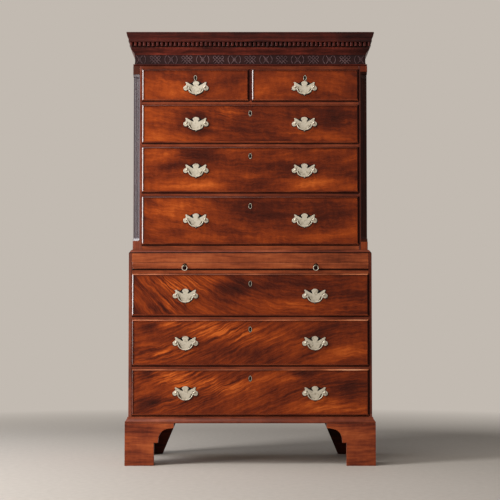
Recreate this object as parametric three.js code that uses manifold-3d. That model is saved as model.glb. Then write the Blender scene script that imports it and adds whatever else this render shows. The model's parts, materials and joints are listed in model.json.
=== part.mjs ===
// Chest on chest: a tall mahogany chest of drawers in two cases, with a brushing slide
// between them, canted and fluted upper corners, a dentilled cornice and bracket feet.
// Sizes are in millimetres. X runs across the front, Y from front to back and Z up.
// The chest stands on Z = 0, and its origin is under the middle of its bounding box.

import * as THREE from 'three';
import { mergeVertices } from 'three/addons/utils/BufferGeometryUtils.js';
import Module from 'manifold-3d';

const wasm = await Module();
wasm.setup();

// Overall sizes, and how far the upper case stands back from the lower one
const chestHeight = 1820;
const lowerWidth = 1018;
const lowerDepth = 520;
const sideSetback = 14;
const frontSetback = 18;

// Fits: the gap between glued or resting pieces, round a drawer front, and behind a drawer
const seatGap = 0.3;
const frontGap = 0.6;
const drawerHeadroom = 3;
const drawerBackRoom = 12;
const overrun = 5;

// Shares of the chest's height and of the width of the openings
const lowerCaseShare = 0.4868;
const upperHandleShare = 0.5005;
const lowerHandleShare = 0.5464;
const ringShare = 0.5534;

// Drawer rows from top to bottom: the opening's share of all the openings of its case, and
// the shares of its height at which the handle plate's middle and the keyhole sit
const upperRowShares = [
  { opening: 0.193, handle: 0.396, keyhole: 0.731 },
  { opening: 0.235, handle: 0.491, keyhole: 0.779 },
  { opening: 0.278, handle: 0.475, keyhole: 0.803 },
  { opening: 0.294, handle: 0.495, keyhole: 0.804 },
];
const lowerRowShares = [
  { opening: 0.315, handle: 0.469, keyhole: 0.768 },
  { opening: 0.342, handle: 0.478, keyhole: 0.787 },
  { opening: 0.343, handle: 0.472, keyhole: 0.8 },
];

// Case boards
const upperSideThickness = 15;
const lowerSideThickness = 13;
const backThickness = 10;
const backBoardCount = 6;
const backGrooveWidth = 4;
const backGrooveDepth = 2;
const upperRailHeight = 16.5;
const upperTopHeight = 14;
const upperBottomHeight = 38.7;
const upperBoardThickness = 15;
const lowerRailHeight = 15;
const slideRailHeight = 13.5;
const slideOpening = 33;
const topRailHeight = 38;
const topBoardThickness = 18;
const lowerBoardThickness = 14;
const railDepth = 60;
const frontRailThickness = 20;
const runnerWidth = 55;
const dustPanelThickness = 6;
const guideHeight = 20;
const muntinWidth = 12;
const muntinDepth = 22;

// Canted corners of the upper case
const cornerCant = 29;
const cornerStile = 8.5;
const cornerPostDepth = 45;
const fluteCount = 3;
const fluteWidth = 8;
const fluteDepth = 3;
const flutePitch = 11;
const fluteTopMargin = 32.5;
const fluteBottomMargin = 44;
const fluteFacets = 10;
const fluteEndFacets = 2;

// Cornice, from its foot up: heights of the members, and how far they stand out from the frieze
const astragalHeight = 8.7;
const astragalReach = 7.5;
const friezeHeight = 39.5;
const bedMouldHeight = 29;
const bedMouldFoot = 2.5;
const bedMouldReach = 16;
const dentilSoffit = 4;
const dentilHeight = 17.5;
const dentilBedReach = 12;
const dentilReach = 21.5;
const dentilWidth = 12.5;
const dentilPitch = 18.5;
const coronaHeight = 10.5;
const coronaReach = 25.5;
const crownHeight = 28.5;
const crownFilletHeight = 7;
const crownFilletFoot = 32;
const crownBellyShare = 0.3;
const corniceReach = 33.5;
const corniceWall = 22;
const corniceBoard = 12;
const corniceRim = 45;
const corniceTopRecess = 8;

// Waist moulding round the foot of the upper case
const waistHeight = 16.5;
const waistFillet = 2;
const waistQuirk = 1.5;
const waistSwell = 2;

// Base moulding and bracket feet
const baseMouldHeight = 26;
const baseMouldReach = 13.5;
const baseMouldFillet = 4;
const baseMouldNose = 6.5;
const baseMouldHollow = 1;
const baseUnderSides = 12;
const footHeight = 176;
const footWidth = 204;
const footPadWidth = 121.5;
const footPadHeight = 95;
const footStep = 17;
const footNose = 19.5;
const footThickness = 20;
const glueBlockWidth = 40;
const glueBlockLift = 6;
const rearFootTopWidth = 192;
const rearFootPadWidth = 118;

// Drawers
const drawerFrontThickness = 20;
const drawerSideThickness = 10;
const drawerBottomThickness = 8;
const drawerBottomRise = 5;
const drawerBackDrop = 10;
const beadWidth = 5.5;
const beadReach = 4;
const keyholeRadius = 4.5;
const keyholeSlotWidth = 5;
const keyholeSlotLength = 12;
const keyholeDepth = 12;
const keyholeFacets = 10;

// Brushing slide and its drop rings
const slidePanelThickness = 20;
const slideLipHeight = 26;
const slideLipDepth = 24;
const slideLipReach = 1.5;
const slideRunnerRise = 6;
const slideBackRoom = 25;
const ringPivotHeight = 13.5;
const ringRadius = 11.5;
const ringWire = 2;
const ringStandOff = 9;
const ringRoseRadius = 8;
const ringRoseThickness = 2;
const ringNeckRadius = 2.6;
const ringEyeRadius = 5;
const ringEyeWidth = 5;
const ringEyePlay = 0.6;
const ringFacets = 14;
const ringWireFacets = 5;
const ringPostFacets = 8;

// Handles: plate, posts and bail
const plateHalfWidth = 53;
const plateTop = 30;
const plateBottom = 31;
const plateThickness = 2;
const postSpacing = 77;
const postRise = 4;
const postStandOff = 11;
const postFlangeRadius = 5.5;
const postFlangeThickness = 2.5;
const postNeckRadius = 3;
const postHeadRadius = 4.6;
const postFacets = 8;
const bailWire = 2.1;
const bailPlay = 0.6;
const bailDrop = 32;
const bailHalfSpread = 30;
const bailStubEnd = 0.8;
const bailStubReach = 6;
const bailStepsPerSpan = 2;
const bailWireFacets = 3;

// Planes that follow from the sizes above
const lowerHalf = lowerWidth / 2;
const upperHalf = lowerHalf - sideSetback;
const backPlane = lowerDepth - frontSetback;
const lowerFront = -frontSetback;
const cornerPostWidth = cornerCant + cornerStile;
const upperOpeningHalf = upperHalf - cornerPostWidth;
const lowerOpeningHalf = lowerHalf - lowerSideThickness;
const upperInner = upperHalf - upperSideThickness;
const backFace = backPlane - backThickness;
const drawerBack = backFace - drawerBackRoom;
const ringOffset = ringShare * lowerOpeningHalf;
const handleReach = plateThickness + seatGap + postStandOff;
const frontReach = lowerFront - Math.max(handleReach + postHeadRadius, baseMouldReach);

// Levels of the lower case, from the floor up
const baseFoot = footHeight + seatGap;
const lowerFloor = footHeight + baseMouldHeight + lowerBoardThickness / 2;
const lowerTop = lowerCaseShare * chestHeight;
const topRailFoot = lowerTop - topRailHeight;
const slideFloor = topRailFoot - slideOpening;
const lowerRowsTop = slideFloor - slideRailHeight;

// Levels of the upper case and the cornice
const upperFoot = lowerTop + seatGap;
const upperFloor = upperFoot + upperBottomHeight;
const coronaTop = chestHeight - crownHeight;
const dentilTop = coronaTop - coronaHeight;
const dentilFoot = dentilTop - dentilHeight;
const bedMouldTop = dentilFoot - dentilSoffit;
const friezeTop = bedMouldTop - bedMouldHeight;
const astragalTop = friezeTop - friezeHeight;
const corniceFoot = astragalTop - astragalHeight;
const upperTop = corniceFoot - seatGap;
const upperRowsTop = upperTop - upperTopHeight;

// The drawer rows of one case from top to bottom, between its floor and its highest opening
function drawerRows(shares, floor, top, rail) {
  const room = top - floor - rail * (shares.length - 1);
  const total = shares.reduce((sum, share) => sum + share.opening, 0);
  let level = top + rail;
  return shares.map((share) => {
    const opening = room * share.opening / total;
    level -= opening + rail;
    return { floor: level, opening, handle: share.handle * opening, keyhole: share.keyhole * opening };
  });
}

const upperRows = drawerRows(upperRowShares, upperFloor, upperRowsTop, upperRailHeight);
const lowerRows = drawerRows(lowerRowShares, lowerFloor, lowerRowsTop, lowerRailHeight);

// Solid helpers

const axisX = new THREE.Vector3(1, 0, 0);
const axisY = new THREE.Vector3(0, 1, 0);
const axisZ = new THREE.Vector3(0, 0, 1);
const extrudeFrames = {
  x: new THREE.Matrix4().makeBasis(axisY, axisZ, axisX),
  y: new THREE.Matrix4().makeBasis(axisX, axisZ, axisY.clone().negate()),
  z: new THREE.Matrix4(),
};

// A closed three.js geometry as a solid that can be joined and cut
function solidOf(geometry) {
  const bare = geometry.clone();
  bare.deleteAttribute('normal');
  bare.deleteAttribute('uv');
  const welded = mergeVertices(bare);
  const vertProperties = new Float32Array(welded.attributes.position.array);
  const triVerts = new Uint32Array(welded.index.array);
  return new wasm.Manifold(new wasm.Mesh({ numProp: 3, vertProperties, triVerts }));
}

// A box between two corners
function block(low, high) {
  const size = high.map((value, index) => value - low[index]);
  const middle = high.map((value, index) => (value + low[index]) / 2);
  return solidOf(new THREE.BoxGeometry(...size).translate(...middle));
}

// A flat outline pushed along one axis: [y, z] along x, [x, z] along y, or [x, y] along z
function prism(outline, axis, from, to, curveSegments = 1) {
  const shape = Array.isArray(outline)
    ? new THREE.Shape(outline.map(([u, v]) => new THREE.Vector2(u, v)))
    : outline;
  const settings = { depth: to - from, bevelEnabled: false, curveSegments };
  const geometry = new THREE.ExtrudeGeometry(shape, settings);
  geometry.applyMatrix4(extrudeFrames[axis]);
  if (axis === 'x') geometry.translate(from, 0, 0);
  if (axis === 'y') geometry.translate(0, to, 0);
  if (axis === 'z') geometry.translate(0, 0, from);
  return solidOf(geometry);
}

// A round bar between two points on a line along one axis
function bar(axis, radius, from, to, sideways, facets) {
  const geometry = new THREE.CylinderGeometry(radius, radius, to - from, facets);
  const middle = (from + to) / 2;
  if (axis === 'x') geometry.rotateZ(Math.PI / 2).translate(middle, ...sideways);
  if (axis === 'y') geometry.translate(sideways[0], middle, sideways[1]);
  return solidOf(geometry);
}

const join = (...solids) => wasm.Manifold.union(solids);

const mirrorX = (solid) => solid.mirror([1, 0, 0]);

// A moulding that runs round the front and both sides with mitred corners and a cut-off
// back. The profile gives [reach, height], and reach grows outwards from the core.
function mitredBlock(profile, coreHalf, coreFront, back) {
  const foot = profile[0][1];
  const head = profile[profile.length - 1][1];
  const reach = Math.max(...profile.map(([out]) => out)) + overrun;
  const side = [[back, foot], ...profile.map(([out, z]) => [coreFront - out, z]), [back, head]];
  const right = profile.map(([out, z]) => [coreHalf + out, z]);
  const left = profile.map(([out, z]) => [-coreHalf - out, z]).reverse();
  const alongX = prism(side, 'x', -coreHalf - reach, coreHalf + reach);
  const alongY = prism([...right, ...left], 'y', coreFront - reach, back);
  return alongX.intersect(alongY);
}

// The points of a profile drawn as a path of [reach, height]
const profilePoints = (path, divisions) => path.getPoints(divisions).map(({ x, y }) => [x, y]);

function geometryOf(solid) {
  const { vertProperties, triVerts, numProp } = solid.getMesh();
  const geometry = new THREE.BufferGeometry();
  geometry.setAttribute('position', new THREE.BufferAttribute(vertProperties, numProp));
  geometry.setIndex(new THREE.BufferAttribute(triVerts, 1));
  geometry.computeVertexNormals();
  return geometry;
}

// Finishes

const finishes = {
  mahogany: { color: 0x7a3920, roughness: 0.32, metalness: 0 },
  figuredMahogany: { color: 0x86401f, roughness: 0.26, metalness: 0 },
  darkMahogany: { color: 0x45201c, roughness: 0.38, metalness: 0 },
  backWood: { color: 0x8a6844, roughness: 0.8, metalness: 0 },
  brass: { color: 0xb9a98a, roughness: 0.4, metalness: 0.9 },
};

function piece(name, solid, finish) {
  const mesh = new THREE.Mesh(geometryOf(solid), new THREE.MeshStandardMaterial(finishes[finish]));
  mesh.name = name;
  return mesh;
}

// Case sides

// The canted corner post of the right side, with its stopped flutes
function cornerPost() {
  const outline = [
    [upperOpeningHalf, 0],
    [upperHalf - cornerCant, 0],
    [upperHalf, cornerCant],
    [upperHalf, cornerPostDepth],
    [upperOpeningHalf, cornerPostDepth],
  ];
  const post = prism(outline, 'z', upperFoot, upperTop);
  const radius = (fluteWidth ** 2 / 4 + fluteDepth ** 2) / (2 * fluteDepth);
  const foot = upperFoot + fluteBottomMargin;
  const head = upperTop - fluteTopMargin;
  const length = head - foot - 2 * radius;
  const outwards = new THREE.Vector3(1, -1, 0).normalize();
  const across = new THREE.Vector3(1, 1, 0).normalize();
  const faceMiddle = new THREE.Vector3(upperHalf - cornerCant / 2, cornerCant / 2, (foot + head) / 2);
  const flutes = Array.from({ length: fluteCount }, (_, index) => {
    const shift = (index - (fluteCount - 1) / 2) * flutePitch;
    const centre = faceMiddle.clone()
      .addScaledVector(across, shift)
      .addScaledVector(outwards, radius - fluteDepth);
    const capsule = new THREE.CapsuleGeometry(radius, length, fluteEndFacets, fluteFacets);
    capsule.rotateX(Math.PI / 2).rotateZ(-Math.PI / 4).translate(centre.x, centre.y, centre.z);
    return solidOf(capsule);
  });
  return post.subtract(join(...flutes));
}

// Board, corner post and the guide strips that keep the upper drawers straight
function upperSide() {
  const board = block(
    [upperInner, cornerPostDepth - overrun, upperFoot],
    [upperHalf, backPlane, upperTop],
  );
  const guides = upperRows.map(({ floor }) => block(
    [upperOpeningHalf, cornerPostDepth - overrun, floor + seatGap],
    [upperInner + overrun, backFace - seatGap, floor + guideHeight],
  ));
  return join(board, cornerPost(), ...guides);
}

function lowerSide() {
  return block(
    [lowerOpeningHalf, lowerFront, footHeight + baseUnderSides + 2 * seatGap],
    [lowerHalf, backPlane, lowerTop - seatGap],
  );
}

// A back of upright boards with a V groove at each joint
function backPanel(half, foot, head) {
  const outline = [[-half, backFace], [half, backFace], [half, backPlane]];
  const boardWidth = 2 * half / backBoardCount;
  for (let joint = backBoardCount - 1; joint > 0; joint -= 1) {
    const x = -half + joint * boardWidth;
    outline.push([x + backGrooveWidth / 2, backPlane]);
    outline.push([x, backPlane - backGrooveDepth]);
    outline.push([x - backGrooveWidth / 2, backPlane]);
  }
  outline.push([-half, backPlane]);
  return prism(outline, 'z', foot, head);
}

// Dividers and horizontal boards

// Plan of a board that fits between the corner posts and reaches the side boards behind them
function upperPlan(foot, head) {
  const railHalf = upperOpeningHalf - seatGap;
  const boardHalf = upperInner - seatGap;
  const back = backFace - seatGap;
  const shoulder = cornerPostDepth + seatGap;
  const rail = block([-railHalf, 0, foot], [railHalf, shoulder + overrun, head]);
  const board = block([-boardHalf, shoulder, foot], [boardHalf, back, head]);
  return join(rail, board);
}

// The two shallow pockets that leave a thin dust panel between the runners
function dustPockets(left, right, front, back, foot, head) {
  const reveal = (head - foot - dustPanelThickness) / 2;
  return join(
    block([left, front, head - reveal], [right, back, head + overrun]),
    block([left, front, foot - overrun], [right, back, foot + reveal]),
  );
}

function upperDivider(floor, carriesPair) {
  const foot = floor - upperRailHeight;
  const inner = upperOpeningHalf - runnerWidth;
  const back = backFace - runnerWidth;
  const board = upperPlan(foot, floor);
  if (!carriesPair) {
    return board.subtract(dustPockets(-inner, inner, railDepth, back, foot, floor));
  }
  const middle = runnerWidth / 2;
  const halfPockets = dustPockets(middle, inner, railDepth, back, foot, floor);
  const opening = upperRows[0].opening;
  const muntin = block(
    [-muntinWidth / 2, 0, floor - overrun],
    [muntinWidth / 2, muntinDepth, floor + opening - seatGap],
  );
  const guide = block(
    [-muntinWidth / 2, muntinDepth - overrun, floor - overrun],
    [muntinWidth / 2, backFace - seatGap, floor + guideHeight],
  );
  return join(board.subtract(join(halfPockets, mirrorX(halfPockets))), muntin, guide);
}

// Bottom of the upper case: a board with a deep front rail and side runners
function upperBottom() {
  const inner = upperOpeningHalf - runnerWidth;
  const well = block(
    [-inner, frontRailThickness, upperFoot + upperBoardThickness],
    [inner, backFace - frontRailThickness, upperFloor + overrun],
  );
  return upperPlan(upperFoot, upperFloor).subtract(well);
}

// Board between the sides of the lower case, with its front edge as the rail
function lowerDivider(floor, railHeight) {
  const half = lowerOpeningHalf - seatGap;
  const inner = lowerOpeningHalf - runnerWidth;
  const foot = floor - railHeight;
  const board = block([-half, lowerFront, foot], [half, backFace - seatGap, floor]);
  const front = lowerFront + railDepth;
  return board.subtract(dustPockets(-inner, inner, front, backFace - runnerWidth, foot, floor));
}

// The divider under the slide also carries the two strips that the slide runs on
function slideDivider() {
  const half = lowerOpeningHalf - seatGap;
  const strip = block(
    [lowerOpeningHalf - runnerWidth, lowerFront + slideLipDepth + overrun, slideFloor - overrun],
    [half, backFace - seatGap, slideFloor + slideRunnerRise],
  );
  return join(lowerDivider(slideFloor, slideRailHeight), strip, mirrorX(strip));
}

// Waist moulding: a fillet at the foot, a quirk, and a swelling slope up to the upper case
function waistProfile() {
  const rim = sideSetback - seatGap;
  const slopeFoot = lowerTop + waistFillet;
  const slopeHead = lowerTop + waistHeight;
  const path = new THREE.Path();
  path.moveTo(0, lowerTop - overrun);
  path.lineTo(0, slopeFoot);
  path.lineTo(-waistQuirk, slopeFoot);
  path.quadraticCurveTo(
    -rim / 2 + waistSwell, (slopeFoot + slopeHead) / 2 + waistSwell,
    -rim + waistQuirk, slopeHead,
  );
  return profilePoints(path, 4);
}

// Top of the lower case: board, deep rail over the slide, kickers and waist moulding
function lowerTopBoard() {
  const half = lowerOpeningHalf - seatGap;
  const board = block(
    [-half, lowerFront, lowerTop - topBoardThickness],
    [half, backPlane, lowerTop],
  );
  const rail = block(
    [-half, lowerFront, topRailFoot],
    [half, lowerFront + frontRailThickness, lowerTop - topBoardThickness + overrun],
  );
  const kickerFoot = slideFloor + slideRunnerRise + 2 * seatGap + slidePanelThickness;
  const kicker = block(
    [lowerOpeningHalf - runnerWidth, lowerFront + slideLipDepth + overrun, kickerFoot + seatGap],
    [half, backFace - seatGap, lowerTop - topBoardThickness + overrun],
  );
  const moulding = mitredBlock(waistProfile(), lowerHalf, lowerFront, backPlane);
  const seat = block(
    [-upperHalf - seatGap, -seatGap, lowerTop],
    [upperHalf + seatGap, backPlane + overrun, lowerTop + waistHeight + overrun],
  );
  const underMoulding = block(
    [-lowerHalf - overrun, lowerFront - overrun, lowerTop - 2 * overrun],
    [lowerHalf + overrun, backPlane + overrun, lowerTop],
  );
  const waist = moulding.subtract(join(seat, underMoulding));
  return join(board, rail, kicker, mirrorX(kicker), waist);
}

// Base: bottom board, side runners and the moulding that wraps the foot of the lower case
function baseProfile() {
  const nose = footHeight + baseMouldNose;
  const head = footHeight + baseMouldHeight;
  const path = new THREE.Path();
  path.moveTo(baseMouldReach, baseFoot);
  path.lineTo(baseMouldReach, nose);
  path.quadraticCurveTo(
    (baseMouldReach + baseMouldFillet) / 2 - baseMouldHollow,
    (nose + head - baseMouldFillet) / 2 - baseMouldHollow,
    baseMouldFillet, head - baseMouldFillet,
  );
  path.lineTo(baseMouldFillet, head);
  return profilePoints(path, 4);
}

function lowerBase() {
  const half = lowerOpeningHalf - seatGap;
  const inner = lowerOpeningHalf - runnerWidth;
  const moulded = mitredBlock(baseProfile(), lowerHalf, lowerFront, backPlane);
  const floorBoard = block(
    [-half, lowerFront, footHeight + baseMouldHeight - overrun],
    [half, backPlane, lowerFloor],
  );
  const sideSeat = block(
    [half, lowerFront - seatGap, footHeight + baseUnderSides + seatGap],
    [lowerHalf + seatGap, backPlane + overrun, lowerFloor + overrun],
  );
  const well = block(
    [-inner, lowerFront + frontRailThickness, baseFoot + lowerBoardThickness],
    [inner, backPlane - frontRailThickness, lowerFloor + overrun],
  );
  return join(moulded, floorBoard).subtract(join(sideSeat, mirrorX(sideSeat), well));
}

// Bracket feet

// Outline of a moulded bracket as [distance from the corner, height]
function bracketShape() {
  const archFoot = footPadWidth + footStep;
  const archTop = footHeight - footNose;
  const archWidth = footWidth - archFoot;
  const archRise = archTop - footPadHeight;
  const archShares = { first: [0.02, 0.6], second: [0.18, 0.97] };
  const shape = new THREE.Shape();
  shape.moveTo(0, 0);
  shape.lineTo(footPadWidth, 0);
  shape.lineTo(footPadWidth, footPadHeight);
  shape.lineTo(archFoot, footPadHeight);
  shape.bezierCurveTo(
    archFoot + archShares.first[0] * archWidth, footPadHeight + archShares.first[1] * archRise,
    archFoot + archShares.second[0] * archWidth, footPadHeight + archShares.second[1] * archRise,
    footWidth, archTop,
  );
  shape.lineTo(footWidth, footHeight);
  shape.lineTo(0, footHeight);
  return shape;
}

const footArchFacets = 8;

// A right-hand foot with its outer corner at the origin, reaching to -x and +y
function frontFoot() {
  const bracket = bracketShape();
  const front = prism(bracket, 'y', 0, footThickness, footArchFacets).mirror([1, 0, 0]);
  const side = prism(bracket, 'x', -footThickness, 0, footArchFacets);
  const inner = footThickness - overrun;
  const glueBlock = block(
    [-footThickness - glueBlockWidth, inner, glueBlockLift],
    [-inner, footThickness + glueBlockWidth, footHeight],
  );
  return join(front, side, glueBlock);
}

// A rear foot: the moulded bracket at the side and a plain sloping one at the back
function rearFoot() {
  const side = prism(bracketShape(), 'x', -footThickness, 0, footArchFacets).mirror([0, 1, 0]);
  const outline = [[0, 0], [0, footHeight], [-rearFootTopWidth, footHeight], [-rearFootPadWidth, 0]];
  const back = prism(outline, 'y', -footThickness, 0);
  const inner = footThickness - overrun;
  const glueBlock = block(
    [-footThickness - glueBlockWidth, -footThickness - glueBlockWidth, glueBlockLift],
    [-inner, -inner, footHeight],
  );
  return join(side, back, glueBlock);
}

// Cornice

const friezeHalf = upperHalf - astragalReach;
const friezeFront = astragalReach;

// Profile from the astragal up through bed moulding, dentil bed, corona and crown moulding
function corniceProfile() {
  const path = new THREE.Path();
  const bedRise = bedMouldHeight - bedMouldFoot;
  const crownFoot = chestHeight - crownFilletHeight;
  const crownBelly = coronaTop + crownBellyShare * (crownFoot - coronaTop);
  path.moveTo(0, corniceFoot);
  path.bezierCurveTo(
    astragalReach * 4 / 3, corniceFoot,
    astragalReach * 4 / 3, astragalTop,
    0, astragalTop,
  );
  path.lineTo(0, friezeTop);
  path.lineTo(bedMouldFoot, friezeTop);
  path.bezierCurveTo(
    bedMouldFoot, friezeTop + bedRise / 2,
    bedMouldReach, friezeTop + bedRise / 2,
    bedMouldReach, friezeTop + bedRise,
  );
  path.lineTo(bedMouldReach, bedMouldTop);
  path.lineTo(dentilBedReach, bedMouldTop);
  path.lineTo(dentilBedReach, dentilTop);
  path.lineTo(coronaReach, dentilTop);
  path.lineTo(coronaReach, coronaTop);
  path.bezierCurveTo(
    coronaReach, crownBelly,
    crownFilletFoot, crownBelly,
    crownFilletFoot, crownFoot,
  );
  path.lineTo(corniceReach, crownFoot);
  path.lineTo(corniceReach, chestHeight);
  return profilePoints(path, 5);
}

// Square teeth along the front and both sides, with one at each mitred corner
function dentils() {
  const faceHalf = friezeHalf + dentilReach;
  const faceFront = friezeFront - dentilReach;
  const root = dentilBedReach - overrun;
  const run = 2 * faceHalf - dentilWidth;
  const frontSpaces = Math.round(run / dentilPitch);
  const spacing = run / frontSpaces;
  const sideSpaces = Math.floor((backPlane - faceFront - dentilWidth) / spacing);
  const teeth = [];
  for (let index = 0; index <= frontSpaces; index += 1) {
    const left = -faceHalf + index * spacing;
    teeth.push(block(
      [left, faceFront, dentilFoot],
      [left + dentilWidth, friezeFront - root, dentilTop + overrun],
    ));
  }
  for (let index = 0; index <= sideSpaces; index += 1) {
    const front = faceFront + index * spacing;
    const tooth = block(
      [friezeHalf + root, front, dentilFoot],
      [faceHalf, front + dentilWidth, dentilTop + overrun],
    );
    teeth.push(tooth, mirrorX(tooth));
  }
  return join(...teeth);
}

// A frame of moulded walls under a recessed top board, open below
function cornice() {
  const moulded = mitredBlock(corniceProfile(), friezeHalf, friezeFront, backPlane);
  const wallHalf = friezeHalf - corniceWall;
  const hollow = block(
    [-wallHalf, friezeFront + corniceWall, corniceFoot - overrun],
    [wallHalf, backPlane - corniceWall, chestHeight - corniceTopRecess - corniceBoard],
  );
  const rimHalf = friezeHalf + corniceReach - corniceRim;
  const topRecess = block(
    [-rimHalf, friezeFront - corniceReach + corniceRim, chestHeight - corniceTopRecess],
    [rimHalf, backPlane - corniceWall, chestHeight + overrun],
  );
  return join(moulded, dentils()).subtract(join(hollow, topRecess));
}

// Drawers

// A blind keyhole cut inwards from the plane y = 0
function keyhole(x, z) {
  const round = bar('y', keyholeRadius, -overrun, keyholeDepth, [x, z], keyholeFacets);
  const slot = block(
    [x - keyholeSlotWidth / 2, -overrun, z - keyholeSlotLength],
    [x + keyholeSlotWidth / 2, keyholeDepth, z],
  );
  return join(round, slot);
}

// A drawer with its opening's floor at z = 0 and the face of its front at y = 0
function drawer({ width, length }, { opening, keyhole: keyholeHeight }) {
  const half = width / 2;
  const foot = frontGap;
  const head = opening - frontGap;
  const front = block([-half, 0, foot], [half, drawerFrontThickness, head]);
  const beadBlock = block([-half, -beadReach, foot], [half, beadWidth, head]);
  const beadHole = block(
    [-half + beadWidth, -beadReach - overrun, foot + beadWidth],
    [half - beadWidth, beadWidth + overrun, head - beadWidth],
  );
  const sidesTop = opening - drawerHeadroom;
  const box = block([-half, drawerFrontThickness - overrun, seatGap], [half, length, sidesTop]);
  const innerHalf = half - drawerSideThickness;
  const innerBack = length - drawerSideThickness;
  const inside = block(
    [-innerHalf, drawerFrontThickness, drawerBottomRise + drawerBottomThickness],
    [innerHalf, innerBack, opening + overrun],
  );
  const under = block(
    [-innerHalf, drawerFrontThickness, -overrun],
    [innerHalf, length + overrun, drawerBottomRise],
  );
  const backStep = block(
    [-innerHalf, innerBack - overrun, sidesTop - drawerBackDrop],
    [innerHalf, length + overrun, sidesTop + overrun],
  );
  const tray = box.subtract(join(inside, under, backStep));
  return join(front, beadBlock.subtract(beadHole), tray)
    .subtract(keyhole(0, keyholeHeight));
}

// Handles

// One half of the plate's outline from the crest down to the foot. The places are shares
// of the plate's half width and of its height above and below the middle.
const plateOutlineShares = {
  crestPeak: [0, 1],
  crestShoulder: [0.22, 1],
  crestEnd: [0.32, 0.63],
  neckBend: [0.2, 0.52],
  neckFoot: [0.23, 0.4],
  wingTop: [0.73, 0.84],
  wingTip: [0.82, 0.78],
  voluteTop: [0.84, 0.32],
  voluteMiddle: [0.81, 0],
  voluteRadius: 0.19,
  bellyTop: [0.6, -0.2],
  bellyBend: [0.53, -0.72],
  bellyFoot: [0.13, -0.82],
  spike: [0, -1],
};

function platePoint(name) {
  const [across, up] = plateOutlineShares[name];
  return [across * plateHalfWidth, up * (up > 0 ? plateTop : plateBottom)];
}

function plateShape() {
  const at = (...names) => names.flatMap(platePoint);
  const half = new THREE.Path();
  half.moveTo(...at('crestPeak'));
  half.quadraticCurveTo(...at('crestShoulder', 'crestEnd'));
  half.quadraticCurveTo(...at('neckBend', 'neckFoot'));
  half.lineTo(...at('wingTop'));
  half.lineTo(...at('wingTip'));
  half.lineTo(...at('voluteTop'));
  const voluteRadius = plateOutlineShares.voluteRadius * plateHalfWidth;
  half.absarc(...at('voluteMiddle'), voluteRadius, Math.PI / 3, -Math.PI * 0.8, true);
  half.lineTo(...at('bellyTop'));
  half.quadraticCurveTo(...at('bellyBend', 'bellyFoot'));
  half.lineTo(...at('spike'));
  const right = half.getPoints(3).map(({ x, y }) => [x, y]);
  const left = right.slice(1, -1).map(([x, z]) => [-x, z]).reverse();
  return [...right, ...left];
}

// A post that stands out from the plate, drilled on its inner side for the bail's end
function handlePost() {
  const profile = [
    [0, -plateThickness / 2],
    [postFlangeRadius, -plateThickness / 2],
    [postNeckRadius, postFlangeThickness],
    [postNeckRadius, postStandOff - postHeadRadius],
    [postHeadRadius, postStandOff],
    [0, postStandOff + postHeadRadius],
  ].map(([radius, out]) => new THREE.Vector2(radius, out));
  const turned = new THREE.LatheGeometry(profile, postFacets);
  turned.rotateX(Math.PI).rotateY(Math.PI / postFacets);
  turned.translate(postSpacing / 2, -plateThickness - seatGap, postRise);
  const socket = bar(
    'x',
    bailWire + bailPlay,
    postSpacing / 2 - postHeadRadius - overrun,
    postSpacing / 2,
    [-handleReach, postRise],
    postFacets,
  );
  return solidOf(turned).subtract(socket);
}

function handlePlate() {
  const plate = prism(plateShape(), 'y', -plateThickness - seatGap, -seatGap);
  const post = handlePost();
  return join(plate, post, mirrorX(post));
}

// The bail hangs from its pivot line at the origin, with a straight stub at each end. Its
// places are shares of the half spread and of the drop.
const bailShares = [
  [1.03, -0.25],
  [0.86, -0.6],
  [0.45, -0.88],
];

class EvenCurve extends THREE.CatmullRomCurve3 {
  getUtoTmapping(u) {
    return u;
  }
}

function bail() {
  const stubEnd = postSpacing / 2 - bailStubEnd;
  const right = [
    [stubEnd, 0],
    [stubEnd - bailStubReach, 0],
    ...bailShares.map(([across, down]) => [across * bailHalfSpread, down * bailDrop]),
  ];
  const left = right.map(([x, z]) => [-x, z]).reverse();
  const route = [...right, [0, -bailDrop + bailWire], ...left];
  const curve = new EvenCurve(route.map(([x, z]) => new THREE.Vector3(x, 0, z)), false, 'centripetal');
  const wire = new THREE.Shape().absarc(0, 0, bailWire, 0, 2 * Math.PI);
  return solidOf(new THREE.ExtrudeGeometry(wire, {
    extrudePath: curve,
    steps: (route.length - 1) * bailStepsPerSpan,
    curveSegments: bailWireFacets,
  }));
}

// Brushing slide

// A turned rose and neck that ends in an eye for the drop ring, pivot line at the origin
function ringPost() {
  const profile = [
    [0, 0],
    [ringNeckRadius, 0],
    [ringNeckRadius, ringStandOff - ringRoseThickness],
    [ringRoseRadius, ringStandOff],
    [0, ringStandOff],
  ].map(([radius, back]) => new THREE.Vector2(radius, back));
  const turned = solidOf(new THREE.LatheGeometry(profile, ringPostFacets));
  const halfEye = ringEyeWidth / 2;
  const eye = bar('x', ringEyeRadius, -halfEye, halfEye, [0, 0], ringPostFacets);
  const hole = bar(
    'x',
    ringWire + ringEyePlay,
    -halfEye - overrun,
    halfEye + overrun,
    [0, 0],
    ringPostFacets,
  );
  return join(turned, eye).subtract(hole);
}

const slideFoot = slideFloor + slideRunnerRise + seatGap;
const ringPlane = lowerFront - slideLipReach - ringStandOff;
const ringPivot = slideFoot + ringPivotHeight;

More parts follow.
